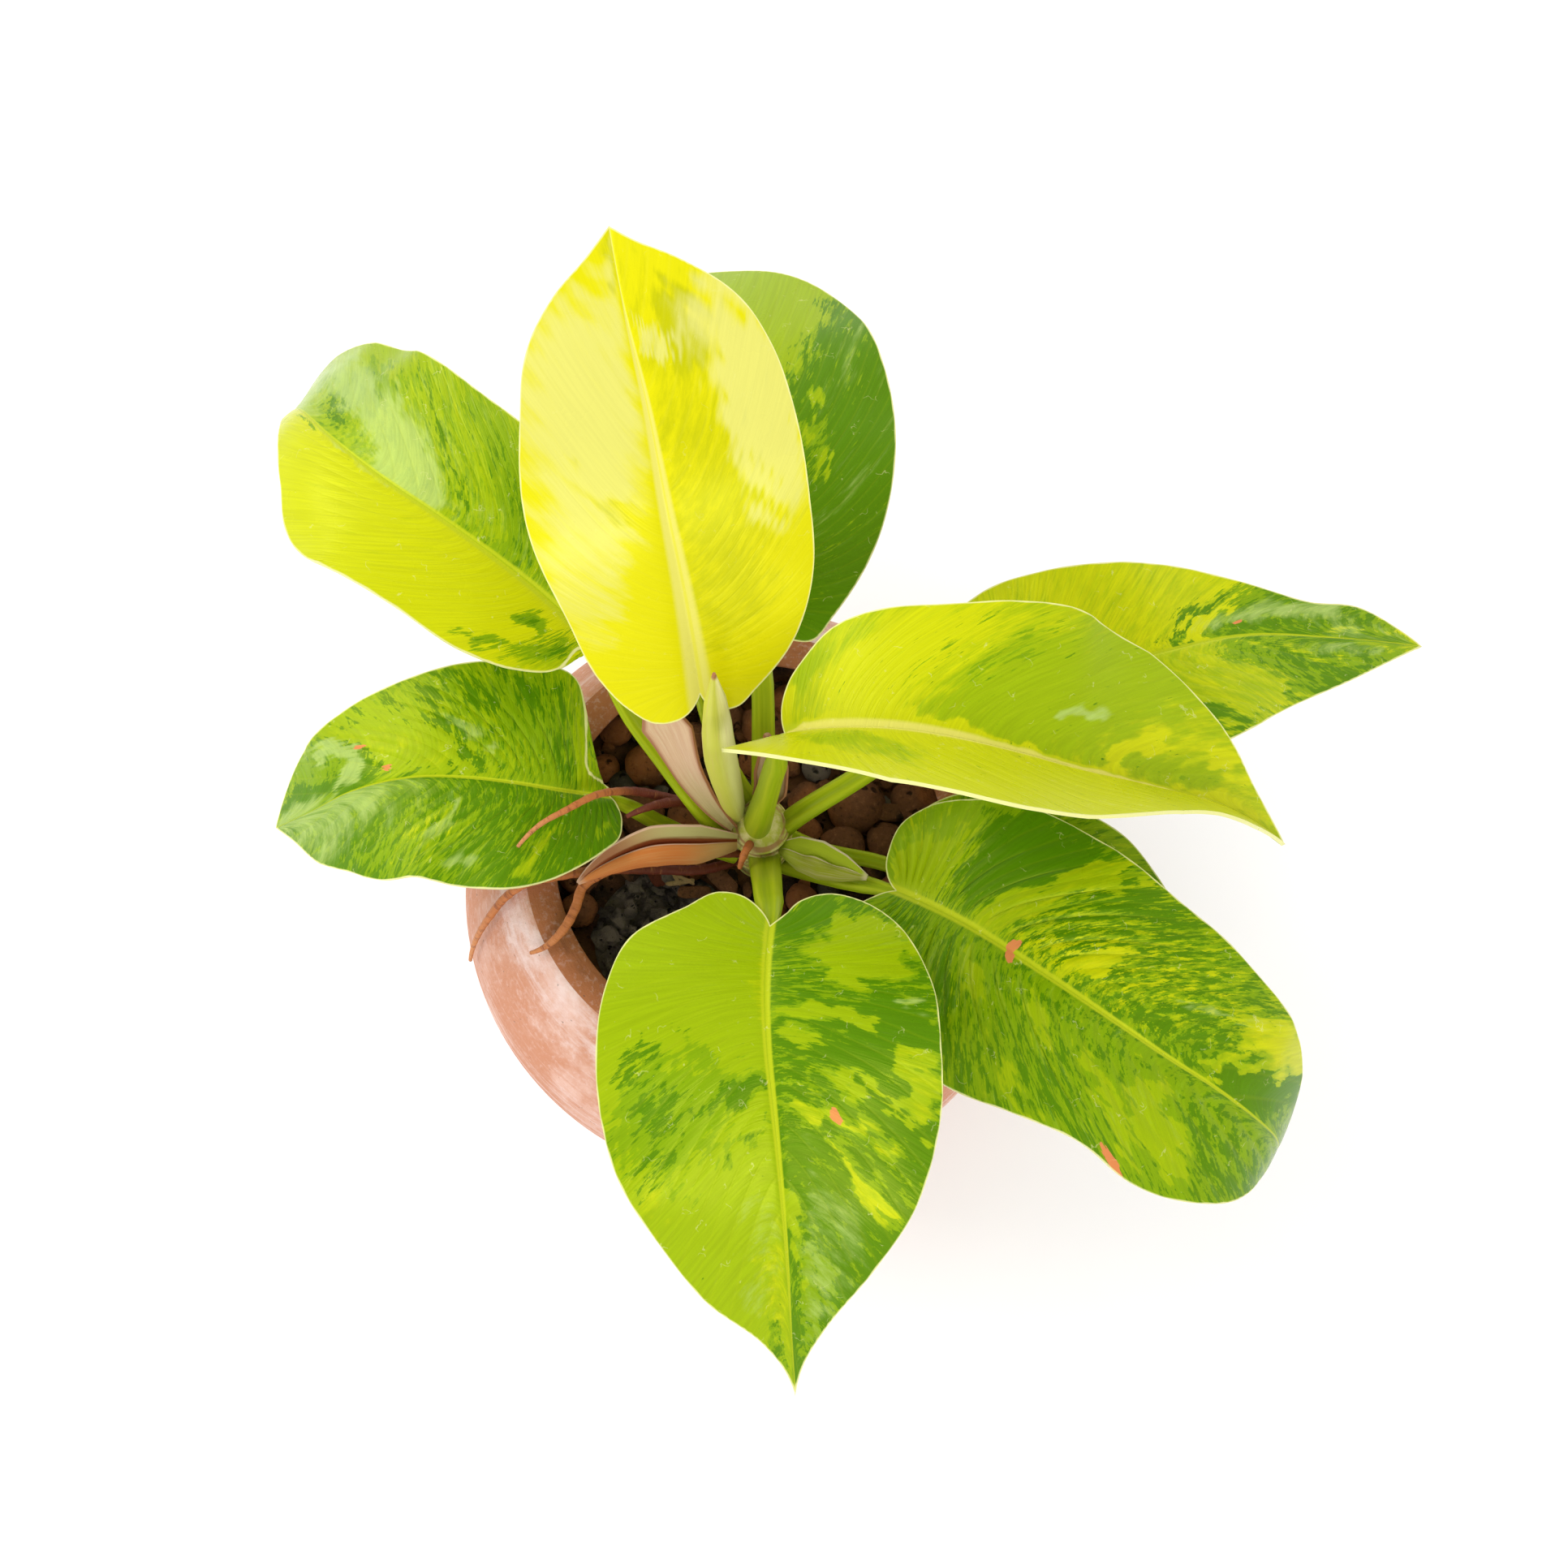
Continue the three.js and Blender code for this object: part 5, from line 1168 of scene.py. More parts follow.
def trough_finish(name, flank, streak, channel, wall, edge, far_wall):
    """Sheath rolled down at the front, with a channel behind its pale lip and a wall behind that."""
    finish = Finish(name, wall, specular=0.3, tint=SHEEN)
    distance, forward, share = finish.attribute("sheath_place")
    fibres = finish.streaks((distance, 0.05), (forward, 8.0), 6.0, 0.65)
    front = finish.mixed(finish.step(fibres, 0.4, 0.66, 0.0, 0.75), flank, streak)
    front = finish.mixed(finish.step(share, 0.05, 0.4, 0.6, 0.0), front, wall)
    finish.lay(far_wall, share, 0.35, 0.75)
    # Channel colour: on the dried sheath a dark red that is partly painted shade in the channel
    finish.lay(channel, finish.uneven(forward, fibres, 0.2), -0.5, -0.36)
    finish.lay(edge, forward, -0.04, -0.01)
    finish.lay(front, forward, 0.015, 0.05)
    finish.lay(edge, forward, -0.97, -0.9, 1.0, 0.0)
    finish.lay(edge, share, 0.93, 1.0, 0.0, 0.8)
    finish.bump(fibres, 0.0005, 0.5)
    return finish.painted_material()


def root_finish(settings):
    """Old red-brown root that grows orange and then pale towards its tip."""
    finish = Finish("aerial_root", settings.root_base, roughness=0.55, specular=0.35)
    distance, turned, age = finish.attribute("leaf_flat")
    rings = finish.streaks((distance, 0.9), (turned, 1.2), 5.0, 0.65)
    finish.lay(settings.root, age, 0.32, 0.55)
    finish.lay(settings.root_tip, age, 0.7, 0.97)
    finish.lay(settings.root_base, rings, 0.5, 0.66, 0.0, 0.6)
    finish.lay(settings.root_tip, rings, 0.3, 0.44, 0.4, 0.0)
    finish.bump(rings, 0.0006, 0.8)
    return finish.painted_material()


def spike_finish(settings):
    """Rolled leaf: cream down the middle, yellow-green at the sides, with a brown tip."""
    finish = Finish("rolled_blade", settings.spike, roughness=0.42, specular=0.4, tint=SHEEN)
    distance, turned, share = finish.attribute("leaf_flat")
    fibres = finish.streaks((distance, 0.04), (turned, 22.0), 5.0, 0.6)
    aside = finish.uneven(finish.size(finish.minus(turned, 0.29)), fibres, 0.12)
    finish.lay(settings.spike_side, aside, 0.03, 0.16)
    finish.lay(settings.spike_side, share, 0.8, 0.5, 0.0, 0.45)
    finish.lay(settings.pink, fibres, 0.52, 0.7, 0.0, 0.3)
    finish.lay(settings.pink_edge, share, 0.975, 0.992)
    finish.bump(fibres, 0.0004, 0.4)
    return finish.painted_material()


def stem_finish(settings):
    """Stem of overlapping sheath bases, with thin brown lines where one ends."""
    finish = Finish("stem_tissue", settings.stem, specular=0.35, tint=SHEEN)
    line = finish.attribute("collar")[0]
    fibres = finish.noise(finish.place(420, 420, 60), 1.0, 5.0, 0.65)
    finish.lay(settings.scar, fibres, 0.4, 0.62)
    finish.lay(settings.pink_edge, line, 0.35, 0.9, 0.0, 0.8)
    finish.bump(fibres, 0.0005, 0.5)
    return finish.painted_material()


def patch_tones(leaf, half, share, outwards, flat, seed):
    """Strength of each tone at each place of a blade, with ragged borders except round the spots."""
    share_shift = PATCH_SHIFT[0] * two_ripples(flat, SHARE_RIPPLES, seed)
    out_shift = PATCH_SHIFT[1] * two_ripples(flat, OUT_RIPPLES, seed + 2)
    out_shift *= np.clip(outwards / SHIFT_START, 0, 1)
    tones = {}
    for name in ("middle", "dark", "light", "painted_sheen", "yellow", "spot"):
        ground, *halves = PATTERNS[leaf["name"]].get(name, NO_PATCHES)
        value = np.where(half == LEFT, ground[LEFT], ground[RIGHT]).astype(float)
        ragged = name != "spot"
        for k, patches in enumerate(halves):
            for patch_share, patch_out, share_radius, out_radius, lean, strength in patches:
                out_reach = outwards - patch_out + ragged * out_shift
                share_reach = share - patch_share + lean * out_reach + ragged * share_shift
                reach = (share_reach / share_radius) ** 2 + (out_reach / out_radius) ** 2
                value += strength * np.exp(-reach ** 2) * (half == k)
        tones[name] = value
    tones["middle"] -= tones["light"]
    tones["dark"] -= tones["light"]
    return tones


def make_blade(leaf, settings):
    """Half blades side by side on one grid, thickened afterwards."""
    midrib = SmoothPath(leaf["midrib"])
    margins = [SmoothPath([(0, 0), *leaf[name], (midrib.length, 0)]) for name in ("left", "right")]
    piece, row_share, column_share = new_grid("detailed_" + leaf["name"], settings.rows, 2 * settings.columns)
    eased = (1 - np.cos(np.pi * row_share)) / 2
    share = row_share + (eased - row_share) * MARGIN_EASE
    start = midrib.length * share ** (MIDRIB_CROWDING[0] + MIDRIB_CROWDING[1] * share ** 2)
    signed = 2 * column_share - 1
    outwards = np.abs(signed) ** COLUMN_CROWDING
    half = np.where(signed > 0, RIGHT, LEFT)
    side = np.where(half == RIGHT, 1.0, -1.0)
    margin_point = np.zeros((len(share), 2))
    for k, margin in enumerate(margins):
        margin_point[half == k] = margin.at(margin.length * share[half == k])
    margin_width = np.maximum(margin_point[:, 1], 0)
    distance = start + (margin_point[:, 0] - start) * outwards ** VEIN_SWEEP
    width = margin_width * outwards
    station = np.maximum(distance, 0)
    along_share = station / midrib.length
    edge, fold, curl = np.zeros((3, len(share)))
    for k, margin in enumerate(margins):
        chosen = half == k
        line = margin.at(np.linspace(0, margin.length, MARGIN_SAMPLES))
        place = np.stack([distance[chosen], width[chosen]], axis=1)
        edge[chosen] = np.min(np.linalg.norm(place[:, None] - line[None], axis=2), axis=1)
        fold[chosen] = blend(leaf["lift"][k][0], along_share[chosen])
        curl[chosen] = blend(leaf["lift"][k][1], along_share[chosen])
    along, across, out = face_frame(midrib, station, blend(leaf["roll"], along_share))
    middle = midrib.at(station) + along * np.minimum(distance, 0)[:, None]
    points = bent_point(middle, across, out, side, width, fold, curl)

    # Waved margin, side veins with quilting between them, and the groove of the midrib
    height, count, phase = leaf["wave"]
    swing = np.sin(2 * np.pi * count * along_share + phase + half * 2)
    lift = height * swing * (width / CURL_REFERENCE) ** 2
    vein_depth, quilt = leaf["relief"]
    number = share * settings.veins
    from_vein = np.abs(number - np.round(number))
    rib_half = leaf["rib"][0] + (leaf["rib"][1] - leaf["rib"][0]) * np.clip(along_share / RIB_TAPER_END, 0, 1)
    body = np.clip((width - rib_half) / RELIEF_RISE, 0, 1) * (1 - outwards ** RELIEF_FADE)
    vein = vein_depth * np.exp(-(from_vein / VEIN_HALF_WIDTH) ** 2)
    lift += body * (quilt * (np.sin(np.pi * from_vein) - 0.5) - vein)
    lift -= GROOVE_DEPTH * np.exp(-(width / rib_half) ** 2) * (1 - GROOVE_FADE * along_share)
    set_coordinates(piece, plant_to_scene(points + out * lift[:, None]))

    # Places and tones that the blade's materials read
    aside = side * width
    vein_length = np.hypot(margin_point[:, 0] - start, margin_width)
    lean = leaf["lean"] * np.clip(share / LEAN_END, 0, 1) * outwards
    across_veins = (share + lean) * midrib.length * VEIN_STRETCH + HALF_APART * half
    flat = np.stack([distance, aside, np.zeros_like(width)], axis=1)
    tones = patch_tones(leaf, half, share, outwards, flat, midrib.length)
    set_attribute(piece, "leaf_flat", distance, aside, aside / rib_half)
    set_attribute(piece, "leaf_vein", across_veins, outwards * vein_length, edge)
    set_attribute(piece, "leaf_tone", tones["middle"], tones["dark"], tones["painted_sheen"])
    set_attribute(piece, "leaf_mark", tones["yellow"], tones["spot"], number)

    in_edit_mode(piece, (bpy.ops.mesh.remove_doubles, {"threshold": DOUBLE}))
    upward = sum(face.normal.z * face.area for face in piece.data.polygons)
    if upward < 0:
        in_edit_mode(piece, (bpy.ops.mesh.flip_normals, {}))
    upper_count = len(piece.data.vertices)
    apply_modifier(piece, "SOLIDIFY", thickness=settings.thickness, offset=0, use_even_offset=False,
                   material_offset=1, material_offset_rim=2)
    add_keel(piece, leaf, midrib, upper_count)
    return piece


def add_keel(piece, leaf, midrib, upper_count):
    """Draws the lower face of a blade down under its midrib."""
    flat = get_attribute(piece, "leaf_flat")
    station = np.clip(flat[:, 0], 0, midrib.length)
    share = station / midrib.length
    keel = blend(KEEL_DEPTH, share ** KEEL_FADE) * np.exp(-(flat[:, 1] / KEEL_HALF_WIDTH) ** 2)
    keel[:upper_count] = 0
    _, _, out = face_frame(midrib, station, blend(leaf["roll"], share))
    set_coordinates(piece, coordinates(piece) - out * (keel * MM)[:, None])


def tube_points(path, share, angle, widths, depths):
    """Points on a tapered tube whose half widths lie level where the path allows it."""
    stations = np.linspace(0, 1, TUBE_STATIONS)
    along = path.heading(path.length * stations)
    across = np.zeros_like(along)
    current = np.cross(along[0], UPWARDS)
    for k in range(TUBE_STATIONS):
        current = current - along[k] * float(np.dot(current, along[k]))
        current = current / np.linalg.norm(current)
        across[k] = current
    level = np.stack([np.interp(share, stations, across[:, k]) for k in range(3)], axis=1)
    heading = path.heading(path.length * share)
    level = unit(level - heading * dot(level, heading))
    out = np.cross(level, heading)
    centre = path.at(path.length * share)
    return centre + level * (np.cos(angle) * widths)[:, None] + out * (np.sin(angle) * depths)[:, None]


def shape_tube(piece, path, share, angle, width, depth, age=(0, 1)):
    """Lays a tube along a path, faces outwards, and notes the distance, turn and age of its skin."""
    set_coordinates(piece, plant_to_scene(tube_points(path, share, angle, width, depth)))
    in_edit_mode(piece, (bpy.ops.mesh.normals_make_consistent, {"inside": False}))
    turned = np.mod(angle, 2 * np.pi) / (2 * np.pi)
    set_attribute(piece, "leaf_flat", share * path.length, turned, blend(age, share))


def make_petiole(leaf):
    """Leaf stalk from the stem to the junction, going on as a rib under the blade."""
    midrib = SmoothPath(leaf["midrib"])
    rib = []
    for distance, drop in RIB_POINTS:
        _, _, out = face_frame(midrib, np.array([distance]), np.array([float(leaf["roll"][0])]))
        rib.append(midrib.at(distance) - out[0] * drop)
    path = SmoothPath([*leaf["petiole"], *rib])
    piece, share, angle = new_tube("petiole", sides=40, rings=60)
    from_channel = (np.mod(angle, 2 * np.pi) - np.pi / 2) / CHANNEL_ANGLE
    width, depth = (blend([*sizes, sizes[1] * RIB_NARROWING, RIB_END], share)
                    for sizes in (leaf["petiole_width"], leaf["petiole_depth"]))
    depth = depth * (1 - leaf["channel"] * np.exp(-from_channel ** 2))
    shape_tube(piece, path, share, angle, width, depth)
    return piece


class PHILODENDRON_OT_leaves(bpy.types.Operator):
    """Models the nine leaves, each with its petiole"""

    bl_idname = "philodendron.leaves"
    bl_label = "Leaves"

    def execute(self, context):
        settings = context.scene.philodendron_blades
        tops = {
            "variegated_blade": blade_finish("variegated_blade", settings),
            "new_blade": blade_finish("new_blade", settings, newest=True),
            "dark_blade": blade_finish("dark_blade", settings),
        }
        under = blade_finish("blade_underside", settings, below=True)
        margin = plain_finish("blade_margin", settings.margin)
        stalk = petiole_finish(settings)
        for leaf in LEAVES:
            slot = BLADE_SLOTS.get(leaf["name"], "variegated_blade")
            blade = make_blade(leaf, settings)
            for material in (tops[slot], under, margin):
                blade.data.materials.append(material)
            petiole = make_petiole(leaf)
            petiole.data.materials.append(stalk)
            piece = joined([blade, petiole])
            smooth(piece)
            finish_piece(piece, [leaf["name"]])
        return {"FINISHED"}


class PHILODENDRON_OT_pot(bpy.types.Operator):
    """Turns the terracotta pot from its section"""

    bl_idname = "philodendron.pot"
    bl_label = "Pot"

    def execute(self, context):
        settings = context.scene.philodendron_pot
        section = self.section(settings)
        deselect_all()
        bpy.ops.mesh.primitive_circle_add(vertices=len(section), radius=1)
        piece = context.active_object
        name_piece(piece, "terracotta_pot")
        set_coordinates(piece, [(radius, 0, level) for radius, level in section])
        last = len(section) - 1
        edit_edges(piece, lambda start, end: {start, end} == {0, last}, bpy.ops.mesh.delete, type="EDGE")
        in_edit_mode(
            piece,
            (bpy.ops.mesh.spin,
             {"steps": POT_SIDES, "angle": 2 * math.pi, "center": (0, 0, 0), "axis": (0, 0, 1)}),
            (bpy.ops.mesh.select_all, {"action": "SELECT"}),
            (bpy.ops.mesh.remove_doubles, {"threshold": DOUBLE}),
            (bpy.ops.mesh.normals_make_consistent, {"inside": False}))
        for k in range(DRAIN_HOLES):
            self.drill(piece, settings, 2 * math.pi * k / DRAIN_HOLES)
        dress(piece, clay_finish("terracotta", settings),
              clay_finish("terracotta_inside", settings, inside=True))
        for face in piece.data.polygons:
            outwards = Vector((face.center.x, face.center.y, 0)).normalized()
            inside = face.normal.dot(outwards) < LIP_TURN and face.center.z > settings.floor / 2
            face.material_index = int(inside)
        finish_piece(piece, ["pot"])
        return {"FINISHED"}

    def drill(self, piece, settings, angle):
        deselect_all()
        centre = (settings.drain_circle * math.cos(angle), settings.drain_circle * math.sin(angle), 0)
        bpy.ops.mesh.primitive_cylinder_add(vertices=DRAIN_SIDES, radius=settings.drain_radius,
                                            depth=4 * settings.floor, location=centre)
        cutter = bpy.context.active_object
        apply_modifier(piece, "BOOLEAN", operation="DIFFERENCE", object=cutter, solver="EXACT")
        bpy.data.objects.remove(cutter, do_unlink=True)

    def wall(self, settings, level, inset):
        """Radius and level of the wall's outside, or of a face that lies further in."""
        half = (settings.lower_half if level < settings.belly_level else settings.upper_half) - inset
        share = (level - settings.belly_level) / half
        return (settings.belly_radius - inset) * math.sqrt(1 - share ** 2), level

    def section(self, settings):
        """Goes up the outside, over the lip and down the inside to the middle of the floor."""
        shoulder = settings.belly_level + settings.upper_half * math.sqrt(
            1 - (settings.crest_radius / settings.belly_radius) ** 2)
        throat = (RIM - LIP_DEPTH) * MM
        outer = [self.wall(settings, level, 0) for level in np.linspace(0, shoulder, OUTER_POINTS)]
        inner = [self.wall(settings, level, settings.wall)
                 for level in np.linspace(throat, settings.floor, INNER_POINTS)]
        crest = [(radius, RIM - drop) for radius, drop in LIP]
        lip = SmoothPath([np.array(outer[-1]) / MM, *crest, np.array(inner[0]) / MM])
        rounded = [tuple(lip.at(distance) * MM) for distance in np.linspace(0, lip.length, LIP_POINTS)[1:-1]]
        return [(0, 0), *outer, *rounded, *inner, (0, settings.floor)]


def even_draws(seed):
    """Even draws from 0 to 1 that repeat for the same seed."""
    state = seed
    while True:
        state = (state * DRAW_FACTOR + DRAW_ADDEND) % DRAW_RANGE
        yield state / DRAW_RANGE


def scatter(placed, seed, tries, reach, centre, sizes, spacing, room=None):
    """Stones listed first and then wherever a draw finds room: x, y, radius.

    Room gives, for a radius, how far its stone stays from the stem's middle and from the grit's.
    """
    draw = even_draws(seed)
    small, large = sizes
    stones = [tuple(stone) for stone in placed]
    for _ in range(tries):
        angle = 2 * math.pi * next(draw)
        distance = reach * math.sqrt(next(draw))
        radius = small + (large - small) * next(draw)
        x = centre[0] + distance * math.cos(angle)
        y = centre[1] + distance * math.sin(angle)
        free = all(math.hypot(s[0] - x, s[1] - y) > spacing * (s[2] + radius) for s in stones)
        if free and room:
            from_stem, from_grit = room(radius)
            free = (math.hypot(x - STEM_CENTRE[0], y - STEM_CENTRE[1]) > from_stem
                    and math.hypot(x - GRIT_PLACE[0], y - GRIT_PLACE[1]) > from_grit)
        if free:
            stones.append((x, y, radius))
    return stones


def new_stone(name, subdivisions, centre, radii, material, lumps, seed, edges=1.0, turn=None):
    """Lumpy ball, boxy where edges is under 1: lumps is its unevenness as a share of the radius."""
    deselect_all()
    bpy.ops.mesh.primitive_ico_sphere_add(subdivisions=subdivisions, radius=1)
    piece = bpy.context.active_object
    piece.name = name
    ball = unit(coordinates(piece))
    fine = FINE_LUMP * ripple(ball, FINE_LUMP_LENGTH, seed + 5)
    swell = 1 + lumps * (ripple(ball, LUMP_LENGTH, seed) + fine)
    points = np.sign(ball) * np.abs(ball) ** edges * swell[:, None] * radii
    turn = seed * SEED_TURN if turn is None else math.radians(turn)
    over = points[:, 0] * math.cos(turn) - points[:, 1] * math.sin(turn)
    back = points[:, 0] * math.sin(turn) + points[:, 1] * math.cos(turn)
    tilted = points[:, 2] + STONE_TILT * math.sin(seed * SEED_TILT) * over
    set_coordinates(piece, plant_to_scene(np.stack([over, back, tilted], axis=1) + centre))
    piece.data.materials.append(material)
    return piece


def new_bed(name, sides, centre, radius, thickness, material):
    """Round slab that loose stones lie in."""
    piece, share, angle = new_tube(name, sides, rings=3)
    set_coordinates(piece, plant_to_scene(round_points(centre, radius, angle, BED_LEVEL + thickness * share)))
    piece.data.materials.append(material)
    return piece


class PHILODENDRON_OT_pebbles(bpy.types.Operator):
    """Lays the clay pebbles on their bed of crumbs"""

    bl_idname = "philodendron.pebbles"
    bl_label = "Clay pebbles"

    def execute(self, context):
        media = context.scene.philodendron_media
        clay = stone_finish("expanded_clay", media.pebble, media.pebble_grey, media.pebble_dust, 0.05)
        crumb = stone_finish("clay_crumbs", media.mix, media.bark, media.bark, 0.05)
        bark = stone_finish("bark", media.bark, media.mix, media.pebble_dust)
        grey = stone_finish("grey_stone", media.grit, media.grit_dust, media.grit_dust, 0.03)
        pebbles = scatter(
            SEEN_PEBBLES + SEEN_GREY, seed=11, tries=320, reach=51, centre=(0, 0), sizes=PEBBLE_SIZES,
            spacing=0.9, room=lambda radius: (STEM_ROOM + radius * 0.4, GRIT_REACH + radius))
        pieces = []
        for k, (x, y, radius) in enumerate(pebbles):
            level = PEBBLE_LEVEL - PEBBLE_SINK * (PEBBLE_SIZES[1] - radius)
            material = grey if (x, y, radius) in SEEN_GREY else clay
            radii = np.array(PEBBLE_FORM) * radius
            pieces.append(new_stone("pebble", 4, (x, y, level), radii, material, lumps=0.1, seed=k * 1.7))
        for piece in pieces:
            smooth(piece)
        crumbs = scatter(
            pebbles, seed=17, tries=700, reach=52, centre=(0, 0), sizes=CRUMB_SIZES, spacing=0.72,
            room=lambda radius: (STEM_RADIUS + 1.5 * radius, GRIT_REACH + 1.5 * radius))
        kinds = (clay, bark, grey, bark, crumb)
        for k, (x, y, radius) in enumerate(crumbs[len(pebbles):]):
            material = kinds[k % len(kinds)]
            radii = np.array(CHIP_FORM if material is bark else CRUMB_FORM) * radius
            level = CRUMB_LEVEL - CRUMB_SINK * radius
            pieces.append(new_stone("crumb", 2, (x, y, level), radii, material, lumps=0.2, seed=k * 1.3))
        pieces.append(new_bed("crumbs", 96, (0, 0), CRUMB_BED_RADIUS, CRUMB_BED_THICKNESS, crumb))
        piece = joined(pieces)
        name_piece(piece, "loose_clay_pebbles")
        finish_piece(piece, ["clay_pebbles"])
        return {"FINISHED"}


class PHILODENDRON_OT_grit(bpy.types.Operator):
    """Lays the dark lava grit and the bark chips"""

    bl_idname = "philodendron.grit"
    bl_label = "Lava grit"

    def execute(self, context):
        media = context.scene.philodendron_media
        reach = GRIT_REACH - CLEARANCE
        stones = scatter([], seed=29, tries=90, reach=reach - 2, centre=GRIT_PLACE, sizes=GRIT_SIZES,
                         spacing=0.8)
        stones = scatter(stones, seed=31, tries=500, reach=reach - 1, centre=GRIT_PLACE,
                         sizes=FINE_GRIT_SIZES, spacing=0.75)
        lava = stone_finish("dark_grit", media.grit, media.grit_dust, media.grit_dust, 0.04, 2.0)
        kinds = {
            "bark": stone_finish("bark_chips", media.bark, media.mix, media.pebble_dust, fineness=1.5),
            "straw": stone_finish("straw_flakes", media.straw, media.straw, media.straw, fineness=1.5),
            "red": stone_finish("red_bark", media.red_bark, media.red_bark, media.bark, fineness=1.5),
        }
        pieces = [new_bed("grit_bed", 48, GRIT_PLACE, reach, GRIT_BED_THICKNESS, lava)]
        for k, (x, y, radius) in enumerate(stones):
            level = GRIT_LEVEL - GRIT_SINK * (GRIT_SIZES[1] - radius) + GRIT_HEAP * math.sin(k * 2.9)
            radii = np.array(GRIT_FORM) * radius
            pieces.append(new_stone("grit", 2, (x, y, level), radii, lava, lumps=0.8, seed=k * 2.3,
                                    edges=1.1))
        for k, (x, y, length, width, turn, kind) in enumerate(SEEN_CHIPS):
            half_thickness, level = STRAW_PLACE if kind == "straw" else CHIP_PLACE
            radii = np.array([length / 2, width / 2, half_thickness])
            pieces.append(new_stone("chip", 3, (x, y, level), radii, kinds[kind], lumps=0.16, seed=k * 1.9,
                                    edges=0.6, turn=turn))
        piece = joined(pieces)
        name_piece(piece, "loose_lava_grit")
        finish_piece(piece, ["lava_grit"])
        return {"FINISHED"}


class PHILODENDRON_OT_stem(bpy.types.Operator):
    """Models the stem and dresses the potting mix"""

    bl_idname = "philodendron.stem"
    bl_label = "Stem"

    def execute(self, context):
        settings = context.scene.philodendron_stem
        piece, share, angle = new_tube("detailed_stem", sides=96, rings=180)
        widths, levels = zip(*STEM_PROFILE)
        level = levels[0] + (levels[-1] - levels[0]) * share
        radius = STEM_RADIUS * np.interp(level, levels, widths)
        line = np.zeros_like(level)
        for height, tilt, turn in STEM_COLLARS:
            below = height + tilt * np.cos(angle - turn) - level
            radius += COLLAR_STEP * np.exp(-np.abs(below) / COLLAR_FADE) * (below > 0) * (share < 1)
            line = np.maximum(line, np.exp(-((below + LINE_OVER_COLLAR) / LINE_HALF_WIDTH) ** 2))
        set_coordinates(piece, plant_to_scene(round_points(STEM_CENTRE, radius, angle, level)))
        set_attribute(piece, "collar", line, level, angle)
        dress(piece, stem_finish(settings))
        finish_piece(piece, ["plant_stem"])
        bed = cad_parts["potting_bed"]
        bed.data.materials.clear()
        bed.data.materials.append(plain_finish("potting_mix", context.scene.philodendron_media.mix, 1.0))
        return {"FINISHED"}


class PHILODENDRON_OT_spike(bpy.types.Operator):
    """Models the new leaf, still rolled"""

    bl_idname = "philodendron.spike"
    bl_label = "Rolled leaf"

    def execute(self, context):
        piece, share, angle = new_tube("detailed_spike", sides=56, rings=90)
        width = blend(SPIKE["width"], share)
        depth = blend(SPIKE["depth"], share)
        shape_tube(piece, SmoothPath(SPIKE["path"]), share, angle, width, depth)
        dress(piece, spike_finish(context.scene.philodendron_stem))
        finish_piece(piece, ["new_leaf_spike"])
        return {"FINISHED"}


class PHILODENDRON_OT_sheaths(bpy.types.Operator):
    """Models the four sheaths"""

    bl_idname = "philodendron.sheaths"
    bl_label = "Sheaths"

    def execute(self, context):
        plant = context.scene.philodendron_stem
        pink = fibre_finish("pink_sheath", plant.pink, plant.pink_pale, plant.pink_edge, 0.85,
                            plant.dried_wall)
        dried_below = fibre_finish("dried_underside", plant.dried, plant.dried_pale, plant.dried_pale, 0.98)
        dried = trough_finish("dried_sheath", plant.dried, plant.root_tip, plant.dried_red_and_channel_shade,
                              plant.dried_wall, plant.dried_pale, plant.pink_edge)
        green_below = fibre_finish("green_underside", plant.green, plant.stem, plant.green_edge, 0.98)
        green = trough_finish("green_sheath", plant.green, plant.dried_wall, plant.green_inside,
                              plant.green_inside, plant.green_edge, plant.green_inside)
        skins = {"pink_sheath": (pink, pink), "dried_sheath": (dried, dried_below),
                 "green_sheath": (green, green_below)}
        for sheath in SHEATHS:
            piece = self.shape(sheath)
            dress(piece, *skins[sheath["slot"]])
            finish_piece(piece, [sheath["name"]])
        return {"FINISHED"}

    def shape(self, sheath):
        """Bent strip along a line, with one half rolled down where the front is named."""
        piece, share, column = new_grid("detailed_" + sheath["name"], rows=60, columns=40)
        line = SmoothPath(sheath["line"])
        _, across, out = face_frame(line, line.length * share, blend(sheath["turn"], share))
        half_width = blend(sheath["width"], share)
        signed = 2 * column - 1
        forward = signed * sheath.get("front", 1)
        flank = (forward > 0) & ("front" in sheath)
        fold = np.where(flank, 0, blend(sheath["fold"], share))
        curl = np.where(flank, FLANK_ROLL, blend(sheath["curl"], share)) * (CURL_REFERENCE / half_width)
        points = bent_point(line.at(line.length * share), across, out, np.sign(signed),
                            np.abs(signed) * half_width, fold, curl)
        swing = np.sin(WAVE_TURNS * np.pi * share) * np.exp(-(forward / WAVE_REACH) ** 2)
        lip = sheath.get("wave", 0) * swing
        if "front" in sheath:
            lip -= CHANNEL_DEPTH * np.exp(-((forward - CHANNEL_PLACE) / CHANNEL_HALF_WIDTH) ** 2)
        points += out * (lip * np.sin(np.pi * share))[:, None]
        set_coordinates(piece, plant_to_scene(points))
        set_attribute(piece, "sheath_place", share * line.length, forward, share)
        apply_modifier(piece, "SOLIDIFY", thickness=SHEATH_THICKNESS * MM, offset=0, material_offset=1,
                       material_offset_rim=1)
        return piece


